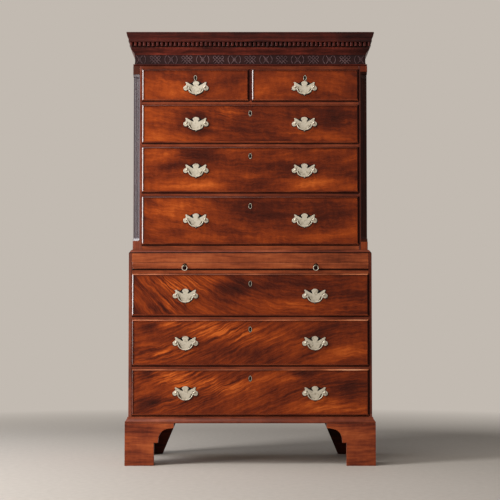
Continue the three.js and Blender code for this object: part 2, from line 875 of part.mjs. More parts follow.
function brushingSlide() {
  const half = lowerOpeningHalf - frontGap;
  const lip = block(
    [-half, lowerFront - slideLipReach, slideFoot],
    [half, lowerFront + slideLipDepth, slideFoot + slideLipHeight],
  );
  const panel = block(
    [-half, lowerFront + slideLipDepth - overrun, slideFoot],
    [half, backFace - slideBackRoom, slideFoot + slidePanelThickness],
  );
  const post = ringPost().translate([ringOffset, ringPlane, ringPivot]);
  const rooted = block(
    [ringOffset - ringNeckRadius, lowerFront - slideLipReach - seatGap, ringPivot - ringNeckRadius],
    [ringOffset + ringNeckRadius, lowerFront, ringPivot + ringNeckRadius],
  );
  return join(lip, panel, post, mirrorX(post), rooted, mirrorX(rooted));
}

function dropRing() {
  const ring = new THREE.TorusGeometry(ringRadius, ringWire, ringWireFacets, ringFacets);
  return solidOf(ring.rotateX(Math.PI / 2).rotateY(Math.PI / ringFacets).translate(0, 0, -ringRadius));
}

// Assembly

const chest = new THREE.Group();
chest.name = 'chest_on_chest';
chest.position.y = -(frontReach + backPlane) / 2;

const upperCase = new THREE.Group();
const lowerCase = new THREE.Group();
chest.add(upperCase, lowerCase);

function addUpperCase() {
  const side = upperSide();
  const panelHalf = upperInner - seatGap;
  upperCase.add(
    piece('upper_side_left', mirrorX(side), 'mahogany'),
    piece('upper_side_right', side, 'mahogany'),
    piece('upper_back', backPanel(panelHalf, upperFoot, upperTop), 'backWood'),
    piece('upper_bottom', upperBottom(), 'mahogany'),
    piece('upper_top', upperPlan(upperRowsTop, upperTop), 'mahogany'),
    piece('cornice', cornice(), 'darkMahogany'),
  );
  upperRows.slice(0, -1).forEach(({ floor }, index) => {
    upperCase.add(piece(`upper_divider_${index + 1}`, upperDivider(floor, index === 0), 'mahogany'));
  });
}

function addLowerCase() {
  const side = lowerSide();
  const panelHalf = lowerOpeningHalf - seatGap;
  const panelTop = lowerTop - topBoardThickness - seatGap;
  lowerCase.add(
    piece('lower_side_left', mirrorX(side), 'mahogany'),
    piece('lower_side_right', side, 'mahogany'),
    piece('lower_back', backPanel(panelHalf, lowerFloor + seatGap, panelTop), 'backWood'),
    piece('lower_base', lowerBase(), 'mahogany'),
    piece('lower_top', lowerTopBoard(), 'mahogany'),
    piece('slide_divider', slideDivider(), 'mahogany'),
  );
  lowerRows.slice(0, -1).forEach(({ floor }, index) => {
    lowerCase.add(piece(`lower_divider_${index + 1}`, lowerDivider(floor, lowerRailHeight), 'mahogany'));
  });
}

function addFeet() {
  const corners = [
    ['foot_front', frontFoot(), lowerFront - baseMouldReach],
    ['foot_rear', rearFoot(), backPlane],
  ];
  for (const [name, foot, y] of corners) {
    const right = piece(`${name}_right`, foot, 'mahogany');
    right.position.set(lowerHalf + baseMouldReach, y, 0);
    const left = piece(`${name}_left`, mirrorX(foot), 'mahogany');
    left.position.set(-lowerHalf - baseMouldReach, y, 0);
    lowerCase.add(right, left);
  }
}

// A drawer and its handles, each named and set at a distance from the middle of the front
function addDrawer(owner, name, [middle, front], size, row, handles) {
  const group = new THREE.Group();
  group.position.set(middle, front, row.floor);
  group.add(piece(`drawer_${name}`, drawer(size, row), 'figuredMahogany'));
  for (const [handleName, x] of handles) {
    const plate = piece(`handle_plate_${handleName}`, handlePlate(), 'brass');
    plate.position.set(x, 0, row.handle);
    const swing = piece(`bail_${handleName}`, bail(), 'brass');
    swing.position.set(x, -handleReach, row.handle + postRise);
    group.add(plate, swing);
  }
  owner.add(group);
}

// The two small drawers that share the top row
function addSmallDrawers(row) {
  const width = upperOpeningHalf - muntinWidth / 2 - 2 * frontGap;
  const middle = (upperOpeningHalf + muntinWidth / 2) / 2;
  const handle = upperHandleShare * upperOpeningHalf;
  for (const [side, sign] of [['left', -1], ['right', 1]]) {
    const name = `1_${side}`;
    const handles = [[name, sign * (handle - middle)]];
    addDrawer(upperCase, name, [sign * middle, 0], { width, length: drawerBack }, row, handles);
  }
}

function addLongDrawers(owner, rows, firstNumber, openingHalf, handleShare, front) {
  const size = { width: 2 * (openingHalf - frontGap), length: drawerBack - front };
  const handle = handleShare * openingHalf;
  rows.forEach((row, index) => {
    const number = firstNumber + index;
    const handles = [[`${number}_left`, -handle], [`${number}_right`, handle]];
    addDrawer(owner, String(number), [0, front], size, row, handles);
  });
}

function addDrawers() {
  const [smallRow, ...longRows] = upperRows;
  const lowerNumber = upperRows.length + 1;
  addSmallDrawers(smallRow);
  addLongDrawers(upperCase, longRows, 2, upperOpeningHalf, upperHandleShare, 0);
  addLongDrawers(lowerCase, lowerRows, lowerNumber, lowerOpeningHalf, lowerHandleShare, lowerFront);
}

function addSlide() {
  lowerCase.add(piece('brushing_slide', brushingSlide(), 'mahogany'));
  for (const [side, sign] of [['left', -1], ['right', 1]]) {
    const ring = piece(`ring_${side}`, dropRing(), 'brass');
    ring.position.set(sign * ringOffset, ringPlane, ringPivot);
    lowerCase.add(ring);
  }
}

addUpperCase();
addLowerCase();
addFeet();
addDrawers();
addSlide();

export default chest;
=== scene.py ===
# %% [markdown]
# # A mahogany chest on chest
# The real piece is a tall Georgian chest of drawers in two cases, built by a cabinetmaker from
# mahogany, with oak drawer linings, softwood inside and brass handles. The CAD model gives each
# board its size and place. It could be rendered as it is, but flat facets and one colour would
# look like a toy, so this script dresses it: each piece is made again in the same place with
# its mouldings, veneers, joints and wear, and some surfaces carry painted shade and painted
# highlights.

# %% Load the imported frame
import contextlib
import json
import math

import bmesh
import bpy
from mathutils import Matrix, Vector
from mathutils.geometry import tessellate_polygon

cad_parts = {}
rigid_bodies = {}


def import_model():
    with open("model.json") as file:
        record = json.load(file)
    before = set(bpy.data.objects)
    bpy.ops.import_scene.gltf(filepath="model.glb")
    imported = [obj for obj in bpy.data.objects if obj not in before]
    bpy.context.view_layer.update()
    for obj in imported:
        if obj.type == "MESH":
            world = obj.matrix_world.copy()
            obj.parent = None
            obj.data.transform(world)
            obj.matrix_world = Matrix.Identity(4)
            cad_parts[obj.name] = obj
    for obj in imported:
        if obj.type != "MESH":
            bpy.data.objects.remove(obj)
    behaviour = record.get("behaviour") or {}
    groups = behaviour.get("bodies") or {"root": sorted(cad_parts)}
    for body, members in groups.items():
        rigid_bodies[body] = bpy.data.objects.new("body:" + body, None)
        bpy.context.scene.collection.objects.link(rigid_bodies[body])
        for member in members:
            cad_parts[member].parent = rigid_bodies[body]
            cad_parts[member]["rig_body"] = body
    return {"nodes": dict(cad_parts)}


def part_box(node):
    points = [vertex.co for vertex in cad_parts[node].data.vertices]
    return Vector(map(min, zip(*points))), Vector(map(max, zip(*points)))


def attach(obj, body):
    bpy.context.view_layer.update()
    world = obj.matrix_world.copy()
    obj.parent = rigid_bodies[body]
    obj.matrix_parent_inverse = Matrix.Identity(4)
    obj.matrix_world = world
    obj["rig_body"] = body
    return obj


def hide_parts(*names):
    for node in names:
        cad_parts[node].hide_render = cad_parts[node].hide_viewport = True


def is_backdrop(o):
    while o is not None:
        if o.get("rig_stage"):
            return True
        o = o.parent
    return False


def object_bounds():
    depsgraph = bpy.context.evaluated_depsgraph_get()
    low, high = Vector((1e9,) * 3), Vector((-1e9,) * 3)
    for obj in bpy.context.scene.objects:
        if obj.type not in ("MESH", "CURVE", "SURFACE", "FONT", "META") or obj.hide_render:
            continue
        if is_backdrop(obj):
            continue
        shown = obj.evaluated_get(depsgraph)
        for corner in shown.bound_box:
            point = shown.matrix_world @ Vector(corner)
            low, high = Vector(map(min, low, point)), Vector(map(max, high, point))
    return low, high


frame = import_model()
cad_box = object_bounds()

# %% [markdown]
# ## Camera
# The photograph was taken from about five metres, at the height of the lower drawers, with the
# lens shifted up so that the sides stay upright. A camera could be aimed by eye, but here the
# distance and height come from how the base and the cornice converge. A slight tilt with a
# smaller shift gives the same picture, and the small shift suits other views better.

# %% Camera
camera_data = bpy.data.cameras.new("camera")
camera_data.lens = 80.58
camera_data.sensor_width = 36
camera_data.shift_x = -0.0004
camera_data.shift_y = 0.1197
camera = bpy.data.objects.new("camera", camera_data)
camera.location = (0, -4.933, 0.502)
camera.rotation_euler = (math.radians(90 + 1.8), 0, 0)
bpy.context.scene.collection.objects.link(camera)
bpy.context.scene.camera = camera
bpy.context.scene.view_settings.view_transform = "Standard"
print("camera at", tuple(camera.location))

# %% [markdown]
# ## Planes and levels
# Every piece has to sit where the CAD piece sits. The numbers could be typed again, but they
# would drift from the model, so they are read from the boxes of the CAD nodes. Smaller sizes are
# written in millimetres, as in a workshop, and turned into metres.

# %% Planes and levels
MM = 0.001


def metres(*lengths):
    """Millimetres as metres, point by point or number by number."""
    return [metres(*v) if isinstance(v, (tuple, list)) else v * MM for v in lengths]


SEAT = 0.3 * MM
side_low, side_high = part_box("upper_side_right")
front, back = side_low.y, side_high.y
upper_half, opening_half = side_high.x, side_low.x
upper_foot, upper_top = side_low.z, side_high.z
lower_side_low, lower_side_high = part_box("lower_side_right")
lower_front = lower_side_low.y
lower_half, lower_opening_half = lower_side_high.x, lower_side_low.x
lower_top_level = upper_foot - SEAT
chest_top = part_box("cornice")[1].z
foot_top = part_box("foot_front_left")[1].z
SIDES = (("left", -1), ("right", 1))
DRAWERS = ["1_left", "1_right", "2", "3", "4", "5", "6", "7"]
HANDLES = [f"{row}_{side}" for row in range(1, 8) for side, _ in SIDES]
print(f"upper front {front:.4f}, lower front {lower_front:.4f}, back {back:.4f}, top {chest_top:.3f}")

# %% [markdown]
# ## Colours and node helpers
# Colours are easier to judge as the numbers seen on a screen, but shaders work in linear light,
# so one function turns the first into the second. Another adds a node, fills its sockets with
# values or links and gives back one of its outputs, which keeps the trees below short.

# %% Colour and node helpers
def paint(red, green, blue):
    linear = [((c / 255 + 0.055) / 1.055) ** 2.4 if c > 10 else c / 255 / 12.92 for c in (red, green, blue)]
    return (*linear, 1)


def clear_tree(owner):
    owner.use_nodes = True
    owner.node_tree.nodes.clear()
    return owner.node_tree


def add_node(tree, kind, inputs=None, out=0, **settings):
    node = tree.nodes.new(kind)
    for key, value in settings.items():
        setattr(node, key, value)
    for key, value in (inputs or {}).items():
        if isinstance(value, bpy.types.NodeSocket):
            tree.links.new(value, node.inputs[key])
        else:
            node.inputs[key].default_value = value
    return node.outputs[out] if node.outputs else None


def maths(tree, operation, *values):
    return add_node(tree, "ShaderNodeMath", dict(enumerate(values)), operation=operation)


def mapping(tree, vector, **values):
    return add_node(tree, "ShaderNodeMapping", {"Vector": vector, **values})


def parts_of(tree, vector):
    return add_node(tree, "ShaderNodeSeparateXYZ", {0: vector}).node.outputs


def ramp(tree, factor, stops):
    colour = add_node(tree, "ShaderNodeValToRGB", {"Fac": factor}, "Color")
    elements = colour.node.color_ramp.elements
    for _ in stops[2:]:
        elements.new(0.5)
    for element, (place, shade) in zip(elements, stops):
        element.position, element.color = place, shade
    return colour


def coat(tree, height, strength, distance, looks):
    """The surface itself: its looks, and a fine relief."""
    bump = add_node(tree, "ShaderNodeBump", {"Height": height, "Strength": strength, "Distance": distance})
    surface = add_node(tree, "ShaderNodeBsdfPrincipled", {**looks, "Normal": bump})
    add_node(tree, "ShaderNodeOutputMaterial", {"Surface": surface})


print("a mid mahogany is", [round(c, 3) for c in paint(128, 58, 32)])

# %% [markdown]
# ## Wood
# Polished wood is a stack of things seen at once: broad light and dark figure, streaks along
# the grain, a mottle across it, pores, and a clear wax over all. A photograph of wood could be
# laid on, but it would repeat and stretch. Noise drawn out along the grain gives all of these at
# any size. On a veneered front the grain bends, so its height is first shifted by a curve in
# the distance along the front: the streaks then climb, fall or fan out as the real ones do.
# Patches lighten or darken places of one front, and make its streaks stronger there. A panel of
# boards gets a tone for each board and a dark line at each joint, and a case board turns from
# mahogany to pine a little behind its front edge.

# %% The wood material
GRAIN_TURNS = {"x": (0, 0, 0), "y": (0, 0, math.pi / 2), "z": (0, math.pi / 2, 0), "wrap": (0, 0, 0)}
JOINT_HALF, FACED_DEPTH = 1.6 * MM, 60 * MM
finishes = {}


def tones_of(name):
    return [(place, paint(*colour)) for place, colour in zip((0.12, 0.34, 0.5, 0.68, 0.9), TONES[name])]


def wood(name, tones, grain="x", figure=0.5, streak=0.4, roughness=0.3, shine=0.12, mottle=0.12, depth=0.12,
         centre=(0, 0, 0), slope=0.0, bend=0.0, bow=0.0, warp=0.012, curl=0.0, patches=(), inside=None, boards=None):
    def scaled(value, scale, base):
        return maths(tree, "MULTIPLY_ADD", value, scale, base)

    def less(value, amount):
        return maths(tree, "SUBTRACT", value, amount)

    def noise(scale, detail, rough=0.55):
        return add_node(tree, "ShaderNodeTexNoise", {
            "Vector": mapping(tree, flow, Scale=scale), "Scale": 1.0, "Detail": detail, "Roughness": rough})

    material = bpy.data.materials.new(name)
    tree = clear_tree(material)
    place = add_node(tree, "ShaderNodeTexCoord", out="Object")
    centred = mapping(tree, place, Location=[-c for c in centre])
    grained = mapping(tree, centred, Rotation=GRAIN_TURNS[grain])
    if grain == "wrap":
        across, facing, _ = (maths(tree, "ABSOLUTE", part) for part in parts_of(tree, place.node.outputs["Normal"]))
        grained = add_node(tree, "ShaderNodeMix", {
            "Factor": maths(tree, "GREATER_THAN", across, facing), "A": grained,
            "B": mapping(tree, centred, Rotation=GRAIN_TURNS["y"])}, 1, data_type="VECTOR")
    wobble = add_node(tree, "ShaderNodeTexNoise", {"Vector": grained, "Scale": 5.0, "Detail": 2.0}, "Color")
    shift = add_node(tree, "ShaderNodeVectorMath", {0: wobble, 1: (0.5, 0.5, 0.5)}, operation="SUBTRACT")
    warped = add_node(tree, "ShaderNodeVectorMath", {
        0: shift, 1: (warp * 4, warp * 2, warp * 2), 2: grained}, operation="MULTIPLY_ADD")
    along, out, up = parts_of(tree, warped)
    lean = scaled(along, scaled(along, bow, bend), slope)
    height = less(up, maths(tree, "MULTIPLY", along, lean))
    if curl:
        ripple = add_node(tree, "ShaderNodeTexNoise", {"Vector": grained, "Scale": 22.0, "Detail": 3.0})
        height = scaled(less(ripple, 0.5), curl, height)
    flow = add_node(tree, "ShaderNodeCombineXYZ", {0: along, 1: out, 2: height})
    tone = scaled(noise((4, 7, 16), 3), 2 * figure, 0.5 - figure)
    flame = 2 * streak
    for x, z, half_width, half_height, light, more_flame in patches:
        spot = mapping(tree, warped, Scale=(1 / half_width, 0, 1 / half_height),
                       Location=(-x / half_width, 0, -z / half_height))
        glow = add_node(tree, "ShaderNodeTexGradient", {"Vector": spot}, "Fac", gradient_type="SPHERICAL")
        tone = scaled(glow, light, tone)
        if more_flame:
            flame = scaled(glow, more_flame, flame)
    tone = scaled(less(noise((9, 60, 110), 6, 0.6), 0.5), flame, tone)
    tone = scaled(noise((60, 40, 30), 3), 2 * mottle, less(tone, mottle))
    if boards:
        board_axis, board_width, board_start = boards
        distance = less(parts_of(tree, place)[board_axis], board_start)
        board_number = maths(tree, "DIVIDE", distance, board_width)
        own_tone = add_node(tree, "ShaderNodeTexWhiteNoise", {"W": maths(tree, "FLOOR", board_number)}, "Value",
                            noise_dimensions="1D")
        tone = scaled(less(own_tone, 0.5), 0.4, tone)
        past_middle = maths(tree, "FRACT", maths(tree, "ADD", board_number, 0.5))
        from_joint = maths(tree, "ABSOLUTE", less(past_middle, 0.5))
        tone = scaled(maths(tree, "LESS_THAN", from_joint, JOINT_HALF / board_width), -0.7, tone)
    pores = noise((60, 500, 900), 3)
    tone = scaled(pores, 0.14, less(tone, 0.07))
    colour = ramp(tree, tone, tones_of(tones))
    rough = scaled(pores, 1.6 * depth, roughness - 0.8 * depth)
    if inside:
        is_inside = maths(tree, "GREATER_THAN", parts_of(tree, place)["Y"], front + FACED_DEPTH)
        colour = add_node(tree, "ShaderNodeMix", {
            "Factor": is_inside, "A": colour, "B": ramp(tree, tone, tones_of(inside))}, 2, data_type="RGBA")
        rough = scaled(is_inside, 0.4, rough)
    coat(tree, pores, depth, 0.4 * MM, {"Base Color": colour, "Roughness": rough, "Specular IOR Level": shine})
    return material


# %% [markdown]
# ## The woods of this chest
# Old mahogany has many colours: red and clear on the veneered fronts and browner on the rails.
# Some woods also stand in for light: near-black ones paint the shade in gaps and on the sides
# away from the lamps, and pale ones paint highlights on edges. A single colour with darker lamps
# would not give that. So each wood has five tones from its darkest to its lightest, and a row
# that says which way it runs, how strong its figure and streaks are, how rough it is, and how
# much it shines. The rows are grouped under slot names, which are stored beside each material.

# %% Tones and woods
TONES = {
    "mahogany": ((62, 26, 18), (96, 40, 25), (126, 56, 32), (152, 72, 38), (184, 98, 54)),
    "rail": ((70, 31, 19), (108, 50, 29), (138, 66, 37), (162, 84, 47), (190, 108, 64)),
    "rich": ((42, 15, 10), (76, 28, 15), (111, 43, 18), (148, 62, 22), (195, 94, 36)),
    "black": ((14, 4, 3), (24, 7, 4), (34, 10, 5), (46, 15, 8), (64, 23, 12)),
    "dark": ((30, 10, 9), (48, 17, 13), (64, 23, 17), (84, 31, 22), (112, 44, 30)),
    "red": ((32, 11, 9), (54, 19, 14), (76, 28, 20), (104, 40, 28), (140, 60, 42)),
    "shaded": ((38, 16, 12), (62, 26, 18), (84, 36, 24), (106, 48, 31), (134, 66, 43)),
    "brown": ((52, 22, 15), (84, 37, 24), (110, 50, 31), (134, 66, 41), (162, 88, 56)),
    "purple": ((26, 13, 14), (38, 20, 20), (48, 25, 25), (60, 32, 30), (78, 42, 38)),
    "frieze": ((21, 10, 11), (30, 15, 15), (38, 19, 19), (48, 25, 23), (64, 34, 31)),
    # The pale fret tones are partly dust and partly a painted highlight.
    "dusty": ((46, 27, 28), (62, 40, 41), (80, 55, 56), (102, 75, 75), (130, 102, 101)),
    "bead": ((36, 14, 9), (60, 24, 14), (84, 34, 19), (110, 48, 26), (142, 68, 36)),
    "top_rail": ((46, 20, 12), (72, 32, 18), (92, 41, 25), (114, 54, 32), (142, 74, 46)),
    # The worn tones are pale, to paint highlights on the top edges of beads and of the slide's lip.
    "worn": ((64, 30, 18), (112, 55, 33), (152, 80, 48), (186, 110, 72), (214, 150, 112)),
    "edge": ((26, 11, 8), (44, 18, 12), (62, 26, 16), (82, 36, 22), (108, 52, 32)),
    "gloom": ((22, 8, 6), (36, 13, 9), (50, 19, 12), (66, 27, 17), (88, 40, 26)),
    "hollow": ((8, 5, 4), (12, 7, 6), (16, 10, 8), (20, 12, 10), (26, 16, 12)),
    "pine": ((84, 58, 38), (132, 98, 66), (164, 126, 88), (186, 148, 106), (206, 170, 128)),
    "oak": ((110, 80, 50), (148, 112, 72), (172, 136, 92), (188, 152, 108), (204, 172, 128)),
}
lined = {"inside": "pine"}
soft = {"depth": 0.3}
dark_ends = {"patches": [(-0.54, 0, 0.16, 4, -0.34, 0), (0.54, 0, 0.24, 4, -0.3, 0)]}
BACK_BOARDS = 6


def back_looks(node):
    low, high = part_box(node)
    return {**soft, "boards": ("X", (high.x - low.x) / BACK_BOARDS, low.x)}


# Each row: tones, grain, figure, streak, roughness, shine, and sometimes more.
WOODS = {
    "mahogany": {
        "mahogany": ("mahogany", "wrap", 0.5, 0.4, 0.3, 0.12),
        "upright_mahogany": ("brown", "z", 0.4, 0.4, 0.3, 0.35),
        "shaded_mahogany": ("shaded", "z", 0.3, 0.3, 0.3, 0.12),
        "waist_mahogany": ("brown", "wrap", 0.4, 0.3, 0.3, 0.12),
        "rail_mahogany": ("rail", "wrap", 0.4, 0.3, 0.3, 0.12),
        # The left and right stiles are a lit and a shaded copy: the right one is darker as painted shade.
        "left_stile": ("brown", "z", 0.3, 0.3, 0.3, 0.28),
        "right_stile": ("shaded", "z", 0.3, 0.3, 0.3, 0.22),
        # A near-black block at the top of the left post paints the shade under the cornice.
        "head_block": ("edge", "z", 0.3, 0.3, 0.3, 0.2),
        "corner_block": ("mahogany", "z", 0.3, 0.3, 0.3, 0.1),
        # The rear brackets are near-black as painted shade under the case.
        "rear_bracket": ("edge", "x", 0.3, 0.3, 0.5, 0.05),
        # The flutes are a lit and a shaded copy: the left shines more, the right is dark as painted shade, and the
        # stop on the lit side shines strongly to catch a highlight.
        "left_flutes": ("purple", "z", 0.3, 0.3, 0.26, 0.4),
        "right_flutes": ("edge", "z", 0.3, 0.3, 0.35, 0.1),
        "polished_stop": ("purple", "z", 0.2, 0.4, 0.34, 0.8),
        "case_board": ("rail", "x", 0.4, 0.3, 0.3, 0.12, lined),
        "divider_board": ("brown", "x", 0.4, 0.3, 0.3, 0.12, lined),
        # The top rail under the cornice is darker as painted shade.
        "top_rail": ("top_rail", "x", 0.4, 0.3, 0.3, 0.05, lined),
        "bottom_rail": ("rail", "x", 0.3, 0.3, 0.3, 0.12, {**lined, "patches": [(0, 0, 3, 9, -0.06, 0)]}),
        # The beads are lit and shaded copies set by how the light falls: the left bead shines to catch a highlight, a
        # duller copy serves the left beads of the two lowest drawers, the right bead is near-black as painted shade,
        # and head and foot beads have their own tones.
        "left_bead": ("bead", "z", 0.2, 0.4, 0.14, 0.75, {"depth": 0.02}),
        "dulled_bead": ("bead", "z", 0.3, 0.4, 0.26, 0.35),
        "right_bead": ("gloom", "z", 0.2, 0.4, 0.3, 0.08),
        "head_bead": ("bead", "x", 0.2, 0.4, 0.24, 0.2),
        "foot_bead": ("mahogany", "x", 0.2, 0.4, 0.3, 0.12),
        # Pale tones on the head beads of the lower drawers paint a highlight, lighter at the right end.
        "worn_bead": ("worn", "x", 0.5, 0.4, 0.3, 0.12, {"patches": [
            (0.06, 0, 0.4, 4, -0.24, 0), (-0.42, 0, 0.2, 4, 0.05, 0), (0.44, 0, 0.14, 4, 0.3, 0)]}),
        # A pale strip along the top of the slide's lip paints a highlight.
        "slide_edge": ("worn", "x", 0.4, 0.4, 0.3, 0.12, {"patches": [
            (-0.3, 0, 0.4, 4, -0.25, 0), (0.3, 0, 0.3, 4, 0.15, 0)]}),
        # Near-black wood that paints the shade in gaps, in the waist hollow and round keyholes and rings.
        "old_grime": ("black", "x", 0.3, 0.4, 0.6, 0.05),
        # Near-black wood that paints the shade inside keyholes and round handle plates.
        "dark_hollow": ("hollow", "x", 0.5, 0.4, 0.7, 0.12),
    },
    "dark_mahogany": {
        "dark_mahogany": ("dark", "wrap", 0.35, 0.5, 0.34, 0.15),
        "astragal_wood": ("dark", "wrap", 0.3, 0.4, 0.4, 0.05),
        "bed_wood": ("red", "wrap", 0.4, 0.5, 0.34, 0.12, dark_ends),
        "crown_wood": ("dark", "wrap", 0.35, 0.5, 0.34, 0.15, dark_ends),
        # A near-black ground behind the teeth paints the shade in the gaps.
        "dentil_gaps": ("black", "wrap", 0.5, 0.4, 0.5, 0.12),
        # The frieze ground is darkened as painted shade, and the fret strips are pale, partly dust and partly a
        # painted highlight.
        "frieze_wood": ("frieze", "wrap", 0.3, 0.2, 0.4, 0.12),
        "dusty_fret": ("dusty", "wrap", 0.5, 0.3, 0.45, 0.3, {"mottle": 0.3}),
    },
    "back_wood": {
        "oak": ("oak", "wrap", 0.3, 0.4, 0.6, 0.12, soft),
        "pine": ("pine", "z", 0.35, 0.4, 0.75, 0.12, soft),
        "upper_back_boards": ("pine", "z", 0.3, 0.7, 0.75, 0.12, back_looks("upper_back")),
        "lower_back_boards": ("pine", "z", 0.3, 0.7, 0.75, 0.12, back_looks("lower_back")),
        "dust_boards": ("pine", "x", 0.3, 0.7, 0.8, 0.12, {**soft, "boards": ("Y", 110 * MM, front)}),
    },
}
for slot, rows in WOODS.items():
    for name, row in rows.items():
        finishes[name] = wood(name, *row[:6], **dict(*row[6:])), slot
print("woods:", len(finishes))

# %% [markdown]
# ## Brass and iron
# The handles are old cast brass, rubbed pale on the high places and brown in the hollows. A
# plain metal would look new. Two noises mix a pale yellow with a duller brown and make the
# polish uneven, and the bump gives the slight ripple of a casting.

# %% Brass and iron
def metal(name, pale, dull, roughness):
    material = bpy.data.materials.new(name)
    tree = clear_tree(material)
    place = add_node(tree, "ShaderNodeTexCoord", out="Object")
    stain = add_node(tree, "ShaderNodeTexNoise", {"Vector": place, "Scale": 90.0, "Detail": 5.0})
    cast = add_node(tree, "ShaderNodeTexNoise", {"Vector": place, "Scale": 420.0, "Detail": 2.0})
    coat(tree, cast, 0.25, 0.5 * MM, {
        "Base Color": ramp(tree, stain, [(0.25, paint(*dull)), (0.5, paint(*pale))]),
        "Roughness": maths(tree, "MULTIPLY_ADD", stain, -0.3, roughness + 0.15), "Metallic": 0.6})
    return material


finishes["brass"] = metal("worn_brass", (205, 195, 176), (148, 136, 114), 0.48), "brass"
# The tarnish metal also paints the shadow of the bails on the plates.
finishes["tarnish_and_shade"] = metal("tarnish_and_shade", (74, 64, 46), (40, 33, 24), 0.6), "brass"
finishes["iron"] = metal("nail_iron", (70, 62, 56), (38, 32, 28), 0.6), "back_wood"
print("metals made")

# %% [markdown]
# ## Solids
# The boards are made with a small set of tools: a block, an outline pushed along one axis, a
# turned shape, and a skin over rings of points. Blender's own primitives could stand in, but
# outlines keep each board's real section. Sharp corners catch no light, and real arrises are
# always rubbed soft, so a piece gets a narrow bevel and then smooth shading that keeps the
# flats flat.

# %% Solid tools
AXES = {"x": lambda u, v, w: (w, u, v), "y": lambda u, v, w: (u, w, v), "z": lambda u, v, w: (u, v, w)}


def spread(low, high, count):
    return [low + (high - low) * i / count for i in range(count + 1)]


def rectangle(low_u, low_v, high_u, high_v):
    return [(low_u, low_v), (high_u, low_v), (high_u, high_v), (low_u, high_v)]


def oval(middle_u, middle_v, half_width, half_height):
    return [(middle_u + half_width * math.cos(a), middle_v + half_height * math.sin(a))
            for a in spread(0, 1.95 * math.pi, 23)]


def curve_points(start, first, second, end, steps):
    points = []
    for t in spread(0, 1, steps):
        weights = ((1 - t) ** 3, 3 * t * (1 - t) ** 2, 3 * t * t * (1 - t), t ** 3)
        points.append(tuple(sum(w * p[k] for w, p in zip(weights, (start, first, second, end))) for k in (0, 1)))
    return points


def skin(rings, closed=False):
    """Faces from each ring of points to the next. The ends are capped, or meet if it is closed."""
    count = len(rings[0])
    vertices = [point for ring in rings for point in ring]
    faces = []
    for number in range(len(rings) if closed else len(rings) - 1):
        here, there = number * count, (number + 1) % len(rings) * count
        for i in range(count):
            k = (i + 1) % count
            faces.append([here + i, here + k, there + k, there + i])
    if not closed:
        faces += [list(range(count)), list(range(len(vertices) - count, len(vertices)))]
    return vertices, faces


def prism(outline, axis, low, high, hole=()):
    """An outline pushed along an axis: (y, z) along x, (x, z) along y or (x, y) along z."""
    if not hole:
        return skin([[AXES[axis](u, v, w) for u, v in outline] for w in (low, high)])
    flat = [*outline, *hole]
    count, split = len(flat), len(outline)
    cap = tessellate_polygon([[Vector((u, v, 0)) for u, v in loop] for loop in (outline, hole)])
    faces = [[i + lift for i in face] for face in cap for lift in (0, count)]
    for first, length in ((0, split), (split, count - split)):
        for i in range(length):
            a, b = first + i, first + (i + 1) % length
            faces.append([a, b, b + count, a + count])
    return [AXES[axis](u, v, w) for w in (low, high) for u, v in flat], faces


def block(low, high):
    return prism(rectangle(low[0], low[1], high[0], high[1]), "z", low[2], high[2])


def turned(profile, centre, facets=24, axis="y"):
    """A profile of (radius, distance) turned round an axis, with closed ends."""
    rings = []
    for radius, distance in profile:
        angles = [2 * math.pi * i / facets for i in range(facets)]
        offsets = [AXES[axis](radius * math.cos(a), radius * math.sin(a), distance) for a in angles]
        rings.append([tuple(c + o for c, o in zip(centre, offset)) for offset in offsets])
    return skin(rings)


def on_side(sign, solid):
    """A solid drawn on the right, or its mirror image on the left."""
    vertices, faces = solid
    return [(sign * x, y, z) for x, y, z in vertices], faces


def both_sides(solid):
    return [on_side(sign, solid) for sign in (-1, 1)]


def merged(solids):
    vertices, faces = [], []
    for more_vertices, more_faces in solids:
        faces += [[len(vertices) + i for i in face] for face in more_faces]
        vertices += more_vertices
    return vertices, faces


print("a block has", len(block((0, 0, 0), (1, 1, 1))[1]), "faces")

# %% Turning solids into finished pieces
ARRIS = 0.8 * MM
BEVELLED_FROM, SHARP_FROM, FLAT_WITHIN = math.radians(32), math.radians(50), math.radians(0.5)
SAME_POINT = 1e-6


def apply_modifiers(piece):
    graph = bpy.context.evaluated_depsgraph_get()
    graph.update()
    made = bpy.data.meshes.new_from_object(piece.evaluated_get(graph), depsgraph=graph)
    piece.modifiers.clear()
    piece.data = made


@contextlib.contextmanager
def opened(piece):
    """The piece's mesh, open to changes."""
    shaped = bmesh.new()
    shaped.from_mesh(piece.data)
    yield shaped
    shaped.to_mesh(piece.data)
    shaped.free()


def soften(piece, bevel):
    """Bevels the arrises and shades the result smooth, with flats that stay flat."""
    if bevel:
        edge = piece.modifiers.new("arris", "BEVEL")
        edge.width, edge.segments = bevel, 2
        edge.limit_method, edge.angle_limit = "ANGLE", BEVELLED_FROM
        edge.use_clamp_overlap = True
        apply_modifiers(piece)
    with opened(piece) as shaped:
        for face in shaped.faces:
            face.smooth = True
        for edge in shaped.edges:
            edge.smooth = len(edge.link_faces) == 2 and edge.calc_face_angle() < SHARP_FROM
    piece.modifiers.new("flats", "WEIGHTED_NORMAL").keep_sharp = True
    apply_modifiers(piece)


def dress(piece, finish, body="case", replaced=()):
    material, usual_slot = finishes[finish]
    piece.data.materials.clear()
    piece.data.materials.append(material)
    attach(piece, body)
    if replaced:
        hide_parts(*replaced)
    return piece


def bare_object(name, vertices, faces, edges=()):
    mesh = bpy.data.meshes.new(name)
    mesh.from_pydata(vertices, list(edges), faces)
    piece = bpy.data.objects.new(name, mesh)
    bpy.context.scene.collection.objects.link(piece)
    return piece


def line_object(name, points):
    return bare_object(name, points, [], [(i, i + 1) for i in range(len(points) - 1)])


